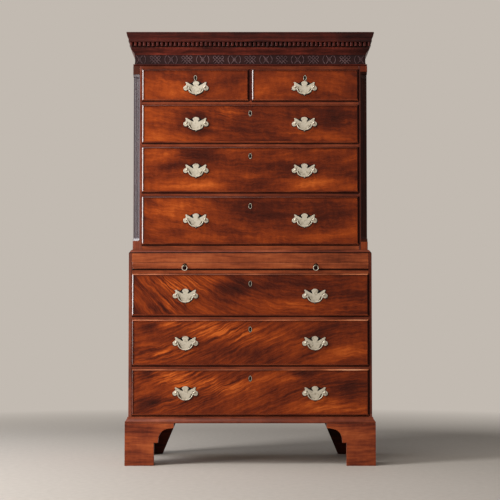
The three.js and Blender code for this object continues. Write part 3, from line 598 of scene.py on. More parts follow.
def make_piece(name, solids, finish, body="case", bevel=0, replaced=()):
    piece = bare_object(name, *merged(solids))
    with opened(piece) as shaped:
        bmesh.ops.recalc_face_normals(shaped, faces=shaped.faces)
    soften(piece, bevel)
    return dress(piece, finish, body, replaced)


def softened_copy(node, finish):
    """The CAD node itself, merged into whole faces and with its arrises rubbed soft."""
    source = frame["nodes"][node]
    piece = bpy.data.objects.new(f"{node}_finished", source.data.copy())
    bpy.context.scene.collection.objects.link(piece)
    with opened(piece) as shaped:
        bmesh.ops.remove_doubles(shaped, verts=shaped.verts, dist=10 * SAME_POINT)
        bmesh.ops.dissolve_limit(shaped, angle_limit=FLAT_WITHIN, verts=shaped.verts, edges=shaped.edges)
    soften(piece, ARRIS)
    return dress(piece, finish, source["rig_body"], (node,))


def close_and_merge(piece):
    with opened(piece) as shaped:
        bmesh.ops.remove_doubles(shaped, verts=shaped.verts, dist=SAME_POINT)
        bmesh.ops.holes_fill(shaped, edges=[e for e in shaped.edges if e.is_boundary])
        bmesh.ops.recalc_face_normals(shaped, faces=shaped.faces)


def finish_made(piece, finish, body="case", replaced=(), bevel=0):
    """Closes, softens and dresses what a geometry tree made."""
    close_and_merge(piece)
    soften(piece, bevel)
    return dress(piece, finish, body, replaced)


def join_pieces(name, pieces):
    with bpy.context.temp_override(active_object=pieces[0], selected_editable_objects=pieces):
        bpy.ops.object.join()
    pieces[0].name = name
    return pieces[0]


print("ready to finish", len(frame["nodes"]), "nodes")

# %% [markdown]
# ## Two geometry trees that repeat and follow
# A moulding is one profile run round the front and both sides, cut at 45 degrees at the corners.
# Teeth, motifs and nails are one shape repeated at an even step. Both follow a rule, so each is
# a Geometry Nodes tree with its sizes as inputs. The moulding tree lays a grid of four columns
# and moves every point out from the case by the reach of its profile point. A curve swept by
# Curve to Mesh would be thinner at each mitre, and the grid keeps the mitres true.

# %% Geometry tree helpers
def new_tree(name, inputs):
    tree = bpy.data.node_groups.new(name, "GeometryNodeTree")
    for label, kind in [("Geometry", "Geometry"), *inputs.items(), ("Material", "Material")]:
        tree.interface.new_socket(label, in_out="INPUT", socket_type=f"NodeSocket{kind}")
    tree.interface.new_socket("Geometry", in_out="OUTPUT", socket_type="NodeSocketGeometry")
    return tree, tree.nodes.new("NodeGroupInput").outputs


def finish_tree(tree, geometry, inlets):
    real = add_node(tree, "GeometryNodeRealizeInstances", {"Geometry": geometry})
    coated = add_node(tree, "GeometryNodeSetMaterial", {"Geometry": real, "Material": inlets["Material"]})
    add_node(tree, "NodeGroupOutput", {"Geometry": coated})


def run_tree(piece, tree, finish, values):
    modifier = piece.modifiers.new(tree.name, "NODES")
    modifier.node_group = tree
    values = {**values, "Material": finishes[finish][0]}
    for socket in tree.interface.items_tree:
        if socket.in_out == "INPUT" and socket.name in values:
            modifier[socket.identifier] = values[socket.name]
    apply_modifiers(piece)


def index_in_grid(tree, profile):
    """How many points the profile has, each grid point's column, and its profile point's place."""
    count = add_node(tree, "GeometryNodeAttributeDomainSize", {"Geometry": profile}, "Point Count")
    index = add_node(tree, "GeometryNodeInputIndex")
    column = maths(tree, "FLOOR", maths(tree, "DIVIDE", index, count))
    sample = add_node(tree, "GeometryNodeSampleIndex", {
        "Geometry": profile, "Value": add_node(tree, "GeometryNodeInputPosition"),
        "Index": maths(tree, "MODULO", index, count)}, data_type="FLOAT_VECTOR")
    across, _, up = parts_of(tree, sample)
    return count, column, across, up


def lay_grid(tree, columns, rows, position, inlets):
    grid = add_node(tree, "GeometryNodeMeshGrid", {"Vertices X": columns, "Vertices Y": rows}, "Mesh")
    finish_tree(tree, add_node(tree, "GeometryNodeSetPosition", {"Geometry": grid, "Position": position}), inlets)


# %% The mitred moulding tree
tree, inlets = new_tree("mitred moulding", {
    "Core half width": "Float", "Core front": "Float", "Back": "Float"})
count, column, reach, height = index_in_grid(tree, inlets["Geometry"])
side = maths(tree, "MULTIPLY_ADD", maths(tree, "GREATER_THAN", column, 1.5), 2.0, -1.0)
is_corner = maths(tree, "COMPARE", column, 1.5, 1.0)
across = maths(tree, "MULTIPLY", side, maths(tree, "ADD", inlets["Core half width"], reach))
corner_depth = maths(tree, "SUBTRACT", inlets["Core front"], reach)
depth_mix = add_node(tree, "ShaderNodeMix", {"Factor": is_corner, "A": inlets["Back"], "B": corner_depth})
place = add_node(tree, "ShaderNodeCombineXYZ", {0: across, 1: depth_mix, 2: height})
lay_grid(tree, 4, count, place, inlets)
moulding_tree = tree


def moulding(name, profile, foot, core, finish, replaced=(), bevel=0.4 * MM):
    """A closed profile of (reach, height) in millimetres, run round the front and both sides."""
    piece = line_object(name, [(out * MM, 0, foot + level * MM) for out, level in [*profile, profile[0]]])
    core_half, core_front = core
    run_tree(piece, moulding_tree, finish, {"Core half width": core_half, "Core front": core_front, "Back": back})
    return finish_made(piece, finish, "case", replaced, bevel)


print("moulding tree has", len(moulding_tree.nodes), "nodes")

# %% The row tree
row_tree, inlets = new_tree("row of copies", {"Count": "Int", "Start": "Vector", "Step": "Vector", "Turn": "Float"})
line = add_node(row_tree, "GeometryNodeMeshLine", {
    "Count": inlets["Count"], "Start Location": inlets["Start"], "Offset": inlets["Step"]})
turn = add_node(row_tree, "ShaderNodeCombineXYZ", {2: inlets["Turn"]})
finish_tree(row_tree, add_node(row_tree, "GeometryNodeInstanceOnPoints", {
    "Points": line, "Instance": inlets["Geometry"], "Rotation": turn}), inlets)


def row_of(name, solid, count, start, step, finish, turn=0.0):
    """One shape repeated along a line, as a bare object that is still to be finished."""
    piece = bare_object(name, *solid)
    run_tree(piece, row_tree, finish, {"Count": count, "Start": start, "Step": step, "Turn": turn})
    return piece


print("row tree has", len(row_tree.nodes), "nodes")

# %% [markdown]
# ## Stage and light
# The photograph has window light from the left and a dim right side. A single lamp would give
# hard shadows, so a tall soft window stands on the left with a weaker glow beside it, a soft
# lamp hangs overhead, and a pale world lights the rest. The floor takes the shadow near the
# chest and fades into the backdrop colour further off. The backdrop is what the camera and the
# polish see, not more light.

# %% Floor, backdrop and lights
BACKDROP = paint(194, 186, 177)
FLOOR_REACH = 40


def seen_directly(tree):
    rays = add_node(tree, "ShaderNodeLightPath").node.outputs
    first = maths(tree, "MAXIMUM", rays["Is Camera Ray"], rays["Is Glossy Ray"])
    return maths(tree, "MAXIMUM", first, rays["Is Transmission Ray"])


world = bpy.data.worlds.new("room")
tree = clear_tree(world)
room_light = add_node(tree, "ShaderNodeBackground", {"Color": (1.0, 0.99, 0.97, 1), "Strength": 0.12})
backdrop = add_node(tree, "ShaderNodeBackground", {"Color": BACKDROP, "Strength": 1.0})
mixed = add_node(tree, "ShaderNodeMixShader", {0: seen_directly(tree), 1: room_light, 2: backdrop})
add_node(tree, "ShaderNodeOutputWorld", {"Surface": mixed})
bpy.context.scene.world = world

floor_paint = bpy.data.materials.new("pale_floor")
tree = clear_tree(floor_paint)
place = add_node(tree, "ShaderNodeTexCoord", out="Object")
grit = add_node(tree, "ShaderNodeTexNoise", {"Vector": place, "Scale": 40.0, "Detail": 4.0})
painted = add_node(tree, "ShaderNodeBsdfPrincipled", {
    "Base Color": ramp(tree, grit, [(0.3, paint(184, 175, 165)), (0.7, paint(192, 183, 173))]), "Roughness": 0.8})
flat_colour = add_node(tree, "ShaderNodeEmission", {"Color": BACKDROP, "Strength": 1.0})
closeness = add_node(tree, "ShaderNodeTexGradient", {"Vector": mapping(tree, place, Scale=(0.25, 0.25, 0.25))},
                     "Fac", gradient_type="SPHERICAL")
near = ramp(tree, closeness, [(0.0, (0, 0, 0, 1)), (0.55, (1, 1, 1, 1))])
is_far = maths(tree, "MULTIPLY", maths(tree, "SUBTRACT", 1.0, near), seen_directly(tree))
shown = add_node(tree, "ShaderNodeMixShader", {0: is_far, 1: painted, 2: flat_colour})
add_node(tree, "ShaderNodeOutputMaterial", {"Surface": shown})
corners = rectangle(-FLOOR_REACH, -FLOOR_REACH, FLOOR_REACH, FLOOR_REACH)
floor = bare_object("floor", [(x, y, 0) for x, y in corners], [[0, 1, 2, 3]])
floor.data.materials.append(floor_paint)
floor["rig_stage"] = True


def soft_lamp(name, place, target, width, height, power, colour):
    lamp = bpy.data.lights.new(name, "AREA")
    lamp.shape, lamp.size, lamp.size_y = "RECTANGLE", width, height
    lamp.energy, lamp.color = power, colour
    stand = bpy.data.objects.new(name, lamp)
    stand.location = place
    stand.rotation_euler = (Vector(target) - Vector(place)).to_track_quat("-Z", "Y").to_euler()
    stand.visible_camera = False
    bpy.context.scene.collection.objects.link(stand)


soft_lamp("window", (-3.2, -2.2, 2.1), (0, -0.2, 1.0), 1.3, 3.2, 200, (0.98, 0.99, 1.0))
soft_lamp("side_glow", (-3.0, 0.3, 1.3), (-0.5, 0.0, 1.1), 1.8, 2.4, 38, (0.78, 0.87, 1.0))
soft_lamp("overhead", (-0.9, -2.4, 4.2), (0, -0.2, 1.0), 2.0, 1.4, 60, (1.0, 0.99, 0.97))
print("lamps:", len(bpy.data.lights))

# %% [markdown]
# ## Cornice
# The real cornice is a stack of mouldings glued to a softwood core: an astragal, a plain frieze
# with a blind fret, a bed moulding, a row of dentils, a corona and a crown moulding. It could be
# one carved block, but each moulding has its own tone, the bed and crown darker towards both
# ends, and the profiles and teeth repeat along every side. So the moulding tree makes three
# mouldings, each in its own wood, with a darkened veneer on the frieze and a near-black ground
# behind the teeth, both painted shade. The row tree makes the teeth.

# %% Cornice mouldings
cornice_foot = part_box("cornice")[0].z
frieze_half, frieze_front = upper_half - 7.5 * MM, front + 7.5 * MM
CORNICE_PARTS = {
    "cornice_frieze": ("astragal_wood", [
        *curve_points((0, 0), (10, 0), (10, 8.7), (0, 8.7), 10), (0, 49.2), (-22, 49.2), (-22, 0)]),
    "cornice_bed": ("bed_wood", [
        (-21, 48.2), *curve_points((2.5, 48.2), (2.5, 61.5), (16, 61.5), (16, 74.7), 12), (16, 77.2), (-21, 77.2)]),
    "cornice_crown": ("crown_wood", [
        (-22, 76.2), (12, 76.2), (12, 98.7), (25.5, 98.7),
        *curve_points((25.5, 109.2), (25.5, 115.6), (32, 115.6), (32, 130.7), 12),
        (33.5, 130.7), (33.5, 137.7), (-11.5, 137.7), (-11.5, 129.7), (-22, 129.7)]),
    "frieze_veneer": ("frieze_wood", rectangle(-1, 8.9, 0.5, 48.1)),
    "dentil_ground": ("dentil_gaps", rectangle(9, 77.4, 12.5, 98.5)),
}
for name, (finish, profile) in CORNICE_PARTS.items():
    moulding(name, profile, cornice_foot, (frieze_half, frieze_front), finish,
             ("cornice",) if name == "cornice_frieze" else (), 0.4 * MM if name.startswith("cornice") else 0)
core = frieze_half - 20 * MM
make_piece("cornice_dust_board", [
    block((-core, frieze_front + 20 * MM, chest_top - 20 * MM), (core, back - 2 * MM, chest_top - 8 * MM)),
    block((-core, back - 22 * MM, cornice_foot + 1 * MM), (core, back - 0.5 * MM, chest_top - 21 * MM)),
], "dust_boards", bevel=0.6 * MM)
print("cornice parts:", ", ".join(CORNICE_PARTS))

# %% Dentils
tooth_width, tooth_height, tooth_reach, tooth_depth = metres(12.5, 17.4, 21.5, 10.5)
tooth_edge, wanted_step = metres(2.5, 18.5)
half = tooth_width / 2
face_half, face_front, tooth_foot = frieze_half + tooth_reach, frieze_front - tooth_reach, cornice_foot + 81.2 * MM
spaces = round((2 * face_half - tooth_width) / wanted_step)
tooth_step = (2 * face_half - tooth_width) / spaces
side_teeth = int((back - face_front - tooth_width) / tooth_step)
tooth = prism([(-half, tooth_depth), (-half, tooth_edge), (-half + tooth_edge, 0), (half - tooth_edge, 0),
               (half, tooth_edge), (half, tooth_depth)], "z", 0, tooth_height)
rows = [row_of("dentils_front", tooth, spaces + 1, (-face_half + half, face_front, tooth_foot),
               (tooth_step, 0, 0), "dark_mahogany")]
for name, sign in SIDES:
    rows.append(row_of(f"dentils_{name}", tooth, side_teeth,
                       (sign * face_half, face_front + half + tooth_step, tooth_foot),
                       (0, tooth_step, 0), "dark_mahogany", sign * math.pi / 2))
finish_made(join_pieces("dentils", rows), "dark_mahogany")
print("teeth:", spaces + 1 + 2 * side_teeth)

# %% [markdown]
# ## Blind fret
# The frieze carries a blind fret, a thin pierced pattern glued on the wood: a cross between two
# bows, in turn with a small diagonal lattice. It could be painted as a bump, but the strips
# throw real shadows, so each motif is made of bevelled strips and the row tree repeats it. The
# strips are paler than the ground, partly dust and partly a painted highlight, and the ground
# is darkened as painted shade.

# %% Blind fret
STRIP_SECTION = ((-1.5, 0), (-0.96, -2.6), (0.96, -2.6), (1.5, 0))
cell, frieze_middle, side_middle = 67 * MM, cornice_foot + 28.4 * MM, (frieze_front + back) / 2


def strip(points):
    """A flat strip of the fret that follows points of (x, z) in millimetres."""
    rings = []
    for i, (x, z) in enumerate(points):
        before, after = points[max(i - 1, 0)], points[min(i + 1, len(points) - 1)]
        dx, dz = after[0] - before[0], after[1] - before[1]
        length = math.hypot(dx, dz)
        rings.append([((x - dz / length * offset) * MM, proud * MM, (z + dx / length * offset) * MM)
                      for offset, proud in STRIP_SECTION])
    return skin(rings)


bow = curve_points((19, -17), (29, -8), (29, 8), (19, 17), 6)
cross = merged([strip(points) for points in (
    [(-13, -17), (13, 17)], [(-13, 17), (13, -17)], bow, [(-x, z) for x, z in bow],
    [(-6, 0), (0, 8), (6, 0), (0, -8), (-6, 0)])])
lattice = merged([
    strip([(sign * x0, z0), (sign * x1, z1)]) for sign in (-1, 1)
    for x0, z0, x1, z1 in ((-17, -17, 17, 17), (-23, -9, 3, 17), (-3, -17, 23, 9), (-23, 9, -15, 17))])
rows = []
for motif, first, side_first in ((cross, -7, -3), (lattice, -6, -2)):
    rows.append(row_of("fret_front", motif, 1 - first, (first * cell, frieze_front, frieze_middle),
                       (2 * cell, 0, 0), "dusty_fret"))
    for name, sign in SIDES:
        rows.append(row_of(f"fret_{name}", motif, 1 - side_first,
                           (sign * frieze_half, side_middle + side_first * cell, frieze_middle),
                           (0, 2 * cell, 0), "dusty_fret", sign * math.pi / 2))
fret = join_pieces("blind_fret", rows)
with opened(fret) as trimmed:
    for sign in (-1, 1):
        bmesh.ops.bisect_plane(trimmed, geom=[*trimmed.verts, *trimmed.edges, *trimmed.faces], clear_outer=True,
                               plane_co=(sign * (frieze_half + 1.7 * MM), 0, 0), plane_no=(sign, 0, 0))
finish_made(fret, "dusty_fret")
print("fret faces:", len(fret.data.polygons))

# %% [markdown]
# ## Waist and base mouldings
# A rounded moulding covers the joint where the upper case sits on the lower one, and a larger
# ogee runs round the foot of the lower case over the bracket feet. Both come from the moulding
# tree, with a thin near-black line in the hollow of the waist as painted shade. The boards they
# are glued to keep the CAD shape and only get soft arrises; the top rail, under the cornice,
# takes darker tones as painted shade.

# %% Waist and base
lower_core = (lower_half, lower_front)
moulding("waist_moulding", [
    (-0.5, 0), (0, 0), (0, 2), (-1.5, 2), *curve_points((-1.5, 2), (-3.7, 8.2), (-7.5, 13), (-12.2, 16.5), 8),
    (-13.6, 16.5), (-13.6, 0)], lower_top_level, lower_core, "waist_mahogany")
moulding("base_moulding", [
    (-12, 0.3), (12.2, 0.3), (12.2, 1.6), (13.5, 1.6), (13.5, 6.5),
    *curve_points((13.5, 6.5), (9.7, 10.8), (6.5, 16), (4, 22), 8), (4, 26), (-1, 26), (-1, 12.4), (-12, 12.4)],
    foot_top, lower_core, "waist_mahogany")
# A near-black line in the hollow of the waist paints its shade.
moulding("waist_shadow_line", [(-3, 0.9), (0.15, 0.9), (0.15, 2.2), (-1.4, 2.3), (-2.4, 5.4), (-4, 5.4)],
         lower_top_level, lower_core, "old_grime", (), 0)
# The top rail under the cornice takes a darker wood as painted shade.
for node, finish in (("upper_top", "top_rail"), ("upper_bottom", "bottom_rail"), ("slide_divider", "case_board")):
    softened_copy(node, finish)
for node in ("upper_divider_1", "upper_divider_2", "upper_divider_3", "lower_divider_1", "lower_divider_2"):
    softened_copy(node, "divider_board")
inner = lower_opening_half - SEAT
rail_foot, under_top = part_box("lower_top")[0].z, lower_top_level - 18 * MM
make_piece("lower_top_board", [
    block((-inner, lower_front, rail_foot), (inner, lower_front + 20 * MM, lower_top_level)),
    block((-inner, lower_front + 20 * MM, under_top), (inner, back, lower_top_level)),
    *both_sides(block((inner - 54 * MM, lower_front + 29 * MM, rail_foot - 6.1 * MM),
                      (inner, back - 11 * MM, under_top))),
], "case_board", "case", ARRIS, ("lower_top",))
base_front, board_top = lower_front + 22 * MM, foot_top + 14 * MM
make_piece("lower_base_board", [
    block((-inner, lower_front, foot_top + 13 * MM), (inner, base_front, foot_top + 33 * MM)),
    block((-inner, base_front, foot_top + 1 * MM), (inner, back, board_top)),
    *both_sides(block((inner - 55 * MM, base_front, board_top), (inner, back, foot_top + 33 * MM))),
], "case_board", "case", ARRIS, ("lower_base",))
print("lower rail foot", round(rail_foot, 4))

# %% [markdown]
# ## Case sides and fluted corners
# The sides are wide boards with upright grain. Each front corner of the upper case is cut off at
# 45 degrees and has three flutes that stop short of the ends in a round. A boolean with
# cylinders would do, but a grid over the cant whose points sink by the depth of the nearest
# flute gives clean, smooth hollows. Under and over the flutes the corner is whole again: a small
# block fills it, and a slanted stop leads from the block back to the cant.

# %% Fluted corner posts
cant, post_depth, flute_radius, flute_depth, flute_pitch = metres(29, 45, 4.2, 3, 11)
flute_foot, flute_head = upper_foot + 70 * MM, upper_top - 50 * MM
face_width = cant * math.sqrt(2)
cant_inner, post_back, upper_inner = upper_half - cant, front + post_depth, upper_half - 15 * MM


def flute_sink(across, level):
    """How deep the cant is hollowed at a point: round across, and round at both ends."""
    sideways = min(abs(across - k * flute_pitch) for k in (-1, 0, 1))
    beyond = max(flute_foot + flute_radius - level, level - (flute_head - flute_radius), 0)
    away = math.hypot(sideways, beyond)
    return flute_depth * math.sqrt(1 - (away / flute_radius) ** 2) if away < flute_radius else 0.0


def corner_post():
    columns = [-face_width / 2, *[k * flute_pitch + flute_radius * math.sin(math.pi / 16 * i)
                                  for k in (-1, 0, 1) for i in range(-8, 9)], face_width / 2]
    ends = [flute_radius * (1 - math.cos(math.pi / 12 * i)) for i in range(7)]
    rings = []
    for level in (upper_foot, *[flute_foot + e for e in ends], *[flute_head - e for e in reversed(ends)], upper_top):
        ring = []
        for across in columns:
            sink = flute_sink(across, level)
            ring.append((upper_half - cant / 2 + (across - sink) / math.sqrt(2),
                         front + cant / 2 + (across + sink) / math.sqrt(2), level))
        rings.append([*ring, (upper_half, post_back, level), (cant_inner, post_back, level)])
    return skin(rings)


def corner_filling(levels):
    """Fills the cut corner out to an edge cut back by the given lengths at two levels."""
    return skin([[(cant_inner, front, level), (upper_half - along_front * MM, front, level),
                  (upper_half, front + along_side * MM, level), (upper_half, front + cant, level)]
                 for level, (along_front, along_side) in levels])


SQUARE, STOP_NEAR, STOP_FAR = (2.5, 2.5), (22, 10.6), (28.9, 14)
# Each end: its name, the lengths of its square block and of its slant, and the woods of block and stop. On the left
# the head block is near-black as painted shade and the foot stop shines to catch a highlight; the right stops take
# the dark shaded flute wood.
STOPS = {
    "left": (("foot", 54, 10, "left_stile", "polished_stop"), ("head", 36, 9, "head_block", "left_flutes")),
    "right": (("foot", 50, 14, "corner_block", "right_flutes"), ("head", 24, 9, "corner_block", "right_flutes")),
}
board_front = post_back + 0.1 * MM
side_board = block((upper_inner, board_front, upper_foot), (upper_half, back, upper_top))
stile = block((opening_half, front, upper_foot), (cant_inner - 0.1 * MM, post_back, upper_top))
guides = [block((opening_half, board_front, level), (upper_inner, back - 11 * MM, level + 20 * MM))
          for level in sorted({round(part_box(f"drawer_{d}")[0].z, 4) for d in DRAWERS[:5]})]
for name, sign in SIDES:
    # Each side's post and stile take that side's copy of their wood: lit on the left, shaded on the right.
    pieces = [("corner_post", [corner_post()], f"{name}_flutes", 0)]
    for end, reach, slant, block_finish, stop_finish in STOPS[name]:
        start, way = (upper_foot, MM) if end == "foot" else (upper_top, -MM)
        square_end, stop_end = start + reach * way, start + (reach + slant) * way
        pieces += [
            (f"corner_block_{end}", [corner_filling([(start, SQUARE), (square_end, SQUARE)])], block_finish, 0),
            (f"corner_stop_{end}", [corner_filling([(square_end, STOP_NEAR), (stop_end, STOP_FAR)])], stop_finish, 0)]
    pieces += [("corner_stile", [stile], f"{name}_stile", ARRIS),
               ("upper_side_board", [side_board], "upright_mahogany", ARRIS),
               ("drawer_guides", guides, "oak", 0.4 * MM)]
    for piece, solids, finish, bevel in pieces:
        make_piece(f"{piece}_{name}", [on_side(sign, solid) for solid in solids], finish, "case", bevel,
                   (f"upper_side_{name}",) if piece == "upper_side_board" else ())
    softened_copy(f"lower_side_{name}", "upright_mahogany")
print("pieces on each side:", len(pieces) + 1)

# %% [markdown]
# ## Back boards
# Nobody was meant to see the back, so it is cheap pine: upright boards nailed into the rebates.
# The CAD boards have the right joints. The nails are one small domed head in rows.

# %% Back boards and nails
nail = turned(metres((0.2, 0.9), (1.6, 0.7), (2.4, 0.2), (2.4, -0.4)), (0, 0, 0), 8)
rows = []
for node in ("upper_back", "lower_back"):
    softened_copy(node, f"{node}_boards")
    low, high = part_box(node)
    width = (high.x - low.x) / BACK_BOARDS
    for level in (low.z + 12 * MM, (low.z + high.z) / 2, high.z - 12 * MM):
        for share in (0.25, 0.75):
            rows.append(row_of(f"nails_{node}", nail, BACK_BOARDS, (low.x + share * width, high.y, level),
                               (width, 0, 0), "iron"))
finish_made(join_pieces("back_nails", rows), "iron")
print("nails:", len(rows) * BACK_BOARDS)

# %% [markdown]
# ## Bracket feet
# Each front foot is two brackets mitred at the corner, sawn to a stepped arch, with a glue block
# behind that carries the weight. The rear foot has a plain sloping bracket across the back. A
# bracket could be pushed out square and cut, but here the outline is drawn on its outer face and
# again on its inner face, where the end stops short by the thickness: that is the mitre.

# %% Bracket feet
foot_width, pad_width, pad_height, nose, thick, glue, foot_reach = metres(204, 121.5, 95, 19.5, 20, 38, 13.5)
arch = curve_points(*metres((138.5, 95), (139.8, 132), (150.5, 154.5)), (foot_width, foot_top - nose), 20)
arched = [(0, 0), (pad_width, 0), (pad_width, pad_height), *arch, (foot_width, foot_top), (0, foot_top)]
sloped = [(0, 0), (0, foot_top), (192 * MM, foot_top), (118 * MM, 0)]
outer, foot_front = lower_half + foot_reach, lower_front - foot_reach


def bracket(outline, place):
    """A board whose inner face stops short at the corner, with place(along, inwards, up) for its points."""
    return skin([[place(max(u, inwards), inwards, v) for u, v in outline] for inwards in (0, thick)])


for name, sign in SIDES:
    # The rear brackets take a near-black wood as painted shade under the case.
    for end, start, way, outline, finish in (("front", foot_front, 1, arched, "mahogany"),
                                             ("rear", back, -1, sloped, "rear_bracket")):
        across = bracket(outline, lambda u, w, v: (outer - u, start + way * w, v))
        along = bracket(arched, lambda u, w, v: (outer - w, start + way * u, v))
        near, far = sorted((start + way * thick, start + way * (thick + glue)))
        glue_block = block((outer - thick - glue, near, 6 * MM), (outer - thick, far, foot_top))
        make_piece(f"bracket_{end}_across_{name}", [on_side(sign, across)], finish, "case", 1.2 * MM,
                   (f"foot_{end}_{name}",))
        make_piece(f"bracket_{end}_along_{name}", [on_side(sign, along)], "mahogany", bevel=1.2 * MM)
        make_piece(f"glue_block_{end}_{name}", [on_side(sign, glue_block)], "pine", bevel=1 * MM)
print("foot outline has", len(arched), "points")

# %% [markdown]
# ## Drawer figure
# The fronts are the showpiece. The lower three have strong flame figure that fans across the
# front, and the upper ones a quiet wavy grain, each with its own light and dark places. One
# material for all would look printed, so each front gets its own slope, bend and patches. A
# patch is a place on the front, its half width and half height, how much lighter it is, and how
# much stronger its streaks are.

# %% Figured veneers
small = {"figure": 0.35, "streak": 0.12, "mottle": 0.12, "warp": 0.016, "curl": 0.03}
wavy = {**small, "figure": 0.4, "streak": 0.2, "mottle": 0.13}
flame = {"figure": 0.35, "streak": 0.32, "mottle": 0.1, "curl": 0.02}
# Darker patches near the right ends of most fronts are partly painted shade, as the right side lies away from the
# lamps.
FIGURES = {  # the kind of figure, its slope, bend and bow, and its patches
    "1_left": (small, -0.1, 0.4, 0, (
        (-0.116, 0.015, 0.13, 0.05, 0.08, 0.3), (-0.076, -0.036, 0.12, 0.025, 0.1, 0),
        (0.16, 0.03, 0.1, 0.05, -0.12, 0), (0.0, 0.02, 0.06, 0.05, -0.12, 0))),
    "1_right": (small, -0.1, -0.2, 0, (
        (-0.14, 0.005, 0.12, 0.07, 0.24, 0), (-0.02, -0.04, 0.12, 0.025, 0.12, 0), (0.2, 0, 0.06, 0.1, -0.15, 0))),
    "2": (wavy, -0.1, 0.1, 0, (
        (-0.36, 0.045, 0.16, 0.045, 0.2, 0.2), (-0.21, 0.04, 0.13, 0.06, -0.2, 0),
        (-0.33, -0.06, 0.24, 0.035, 0.2, 0), (-0.09, 0.05, 0.12, 0.035, 0.14, 0.9),
        (0.02, -0.02, 0.3, 0.12, -0.14, 0), (0.36, 0.03, 0.14, 0.07, -0.26, 0.1),
        (0.25, -0.06, 0.25, 0.03, 0.04, 0))),
    "3": (wavy, 0.04, 0.1, 0, (
        (-0.37, 0.065, 0.14, 0.035, 0.2, 0.1), (-0.233, 0.048, 0.14, 0.045, -0.25, 0),
        (-0.36, 0.01, 0.12, 0.025, -0.14, 0), (-0.33, -0.067, 0.27, 0.035, 0.25, 0.1),
        (0.02, -0.03, 0.09, 0.025, 0.16, 0.3), (0.02, 0.02, 0.3, 0.12, -0.16, 0),
        (0.27, -0.053, 0.22, 0.035, 0.2, 0.1))),
    "4": (wavy, -0.08, 0.14, 0, (
        (-0.33, 0.057, 0.22, 0.045, 0.14, 0.2), (-0.31, -0.03, 0.08, 0.05, -0.16, 0),
        (-0.4, -0.04, 0.08, 0.05, 0.14, 0), (0.06, 0.024, 0.18, 0.07, -0.22, 0),
        (0.36, 0.01, 0.15, 0.07, -0.22, 0.1), (0.1, -0.07, 0.4, 0.03, 0.14, 0))),
    "5": ({**flame, "streak": 0.28, "curl": 0.026}, -0.32, 0.66, -0.25, (
        (-0.07, 0.035, 0.1, 0.055, -0.28, 0), (-0.299, 0.045, 0.24, 0.055, 0.2, 1.9),
        (-0.34, -0.04, 0.1, 0.07, 0.04, 1.3), (0.07, 0.035, 0.32, 0.055, -0.25, 0),
        (0.226, -0.042, 0.3, 0.035, 0.22, 0.3), (0.4, 0.01, 0.2, 0.12, -0.16, 0),
        (-0.42, -0.06, 0.1, 0.04, -0.12, 0))),
    "6": (flame, 0.53, -0.08, -0.7, (
        (-0.124, 0.05, 0.17, 0.055, 0.2, 1.9), (-0.33, 0.075, 0.12, 0.025, 0.2, 0.4),
        (-0.427, 0.065, 0.07, 0.035, -0.3, 0), (-0.367, -0.043, 0.22, 0.045, 0.12, 1.2),
        (0.0, 0.02, 0.22, 0.045, 0.08, 0.8), (-0.016, -0.05, 0.17, 0.05, -0.2, 0),
        (0.267, 0.038, 0.1, 0.035, -0.2, 0), (0.395, -0.043, 0.18, 0.045, 0.24, 0.2))),
    "7": (flame, 0.43, -0.14, -0.35, (
        (-0.29, 0.061, 0.18, 0.045, 0.26, 1.9), (-0.124, 0.024, 0.22, 0.045, 0.16, 1.9),
        (-0.414, 0.068, 0.07, 0.04, -0.3, 0), (-0.42, -0.04, 0.13, 0.045, -0.25, 0.3),
        (-0.3, -0.04, 0.15, 0.05, 0.0, 0.9), (0.223, 0.08, 0.07, 0.022, -0.25, 0),
        (0.34, -0.06, 0.27, 0.045, 0.26, 0.4), (0.41, 0.02, 0.2, 0.12, -0.18, 0),
        (-0.4, 0.0, 0.2, 0.12, 0.06, 0), (0.1, 0.055, 0.14, 0.04, 0.1, 0.4))),
}
LEAF_STEP = 0.31
for number, (drawer, (looks, slope, bend, bow, patches)) in enumerate(FIGURES.items()):
    low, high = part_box(f"drawer_{drawer}")
    centre = ((low.x + high.x) / 2, low.y + LEAF_STEP * number, (low.z + high.z) / 2)
    finishes[f"veneer_{drawer}"] = wood(f"veneer_{drawer}", "rich", roughness=0.27, centre=centre, slope=slope,
                                        bend=bend, bow=bow, patches=patches, **looks), "figured_mahogany"
print("veneers:", len(FIGURES))

# %% [markdown]
# ## Drawers
# A real drawer is a veneered front dovetailed to thin oak sides, with a cock bead let in round
# the face and a keyhole lined with a brass thread. The CAD drawer is one solid. Here the front,
# the beads, the oak box and the joints are separate, so an open drawer shows how it is made.
# The beads of each front get their own wood by how the light falls on them: a shining lit
# copy on the left, a near-black shaded copy on the right as painted shade, and pale tones on
# the head beads of the lower drawers as a painted highlight. Thin near-black pieces paint the
# shade round the keyholes and in the gaps.

# %% The cock bead tree
tree, inlets = new_tree("bead round a front", {"Middle": "Vector", "Half width": "Float", "Half height": "Float"})
count, column, inset, proud = index_in_grid(tree, inlets["Geometry"])
corner = maths(tree, "MODULO", column, 4.0)
across_sign = maths(tree, "MULTIPLY_ADD", maths(tree, "COMPARE", corner, 1.5, 1.0), 2.0, -1.0)
up_sign = maths(tree, "MULTIPLY_ADD", maths(tree, "GREATER_THAN", corner, 1.5), 2.0, -1.0)
across = maths(tree, "MULTIPLY", across_sign, maths(tree, "SUBTRACT", inlets["Half width"], inset))
up = maths(tree, "MULTIPLY", up_sign, maths(tree, "SUBTRACT", inlets["Half height"], inset))
offset = add_node(tree, "ShaderNodeCombineXYZ", {0: across, 1: maths(tree, "MULTIPLY", proud, -1.0), 2: up})
spot = add_node(tree, "ShaderNodeVectorMath", {0: offset, 1: inlets["Middle"]}, operation="ADD")
lay_grid(tree, 5, count, spot, inlets)
bead_tree = tree
BEAD_WIDTH, BEAD_PROUD = 5.5 * MM, 4 * MM
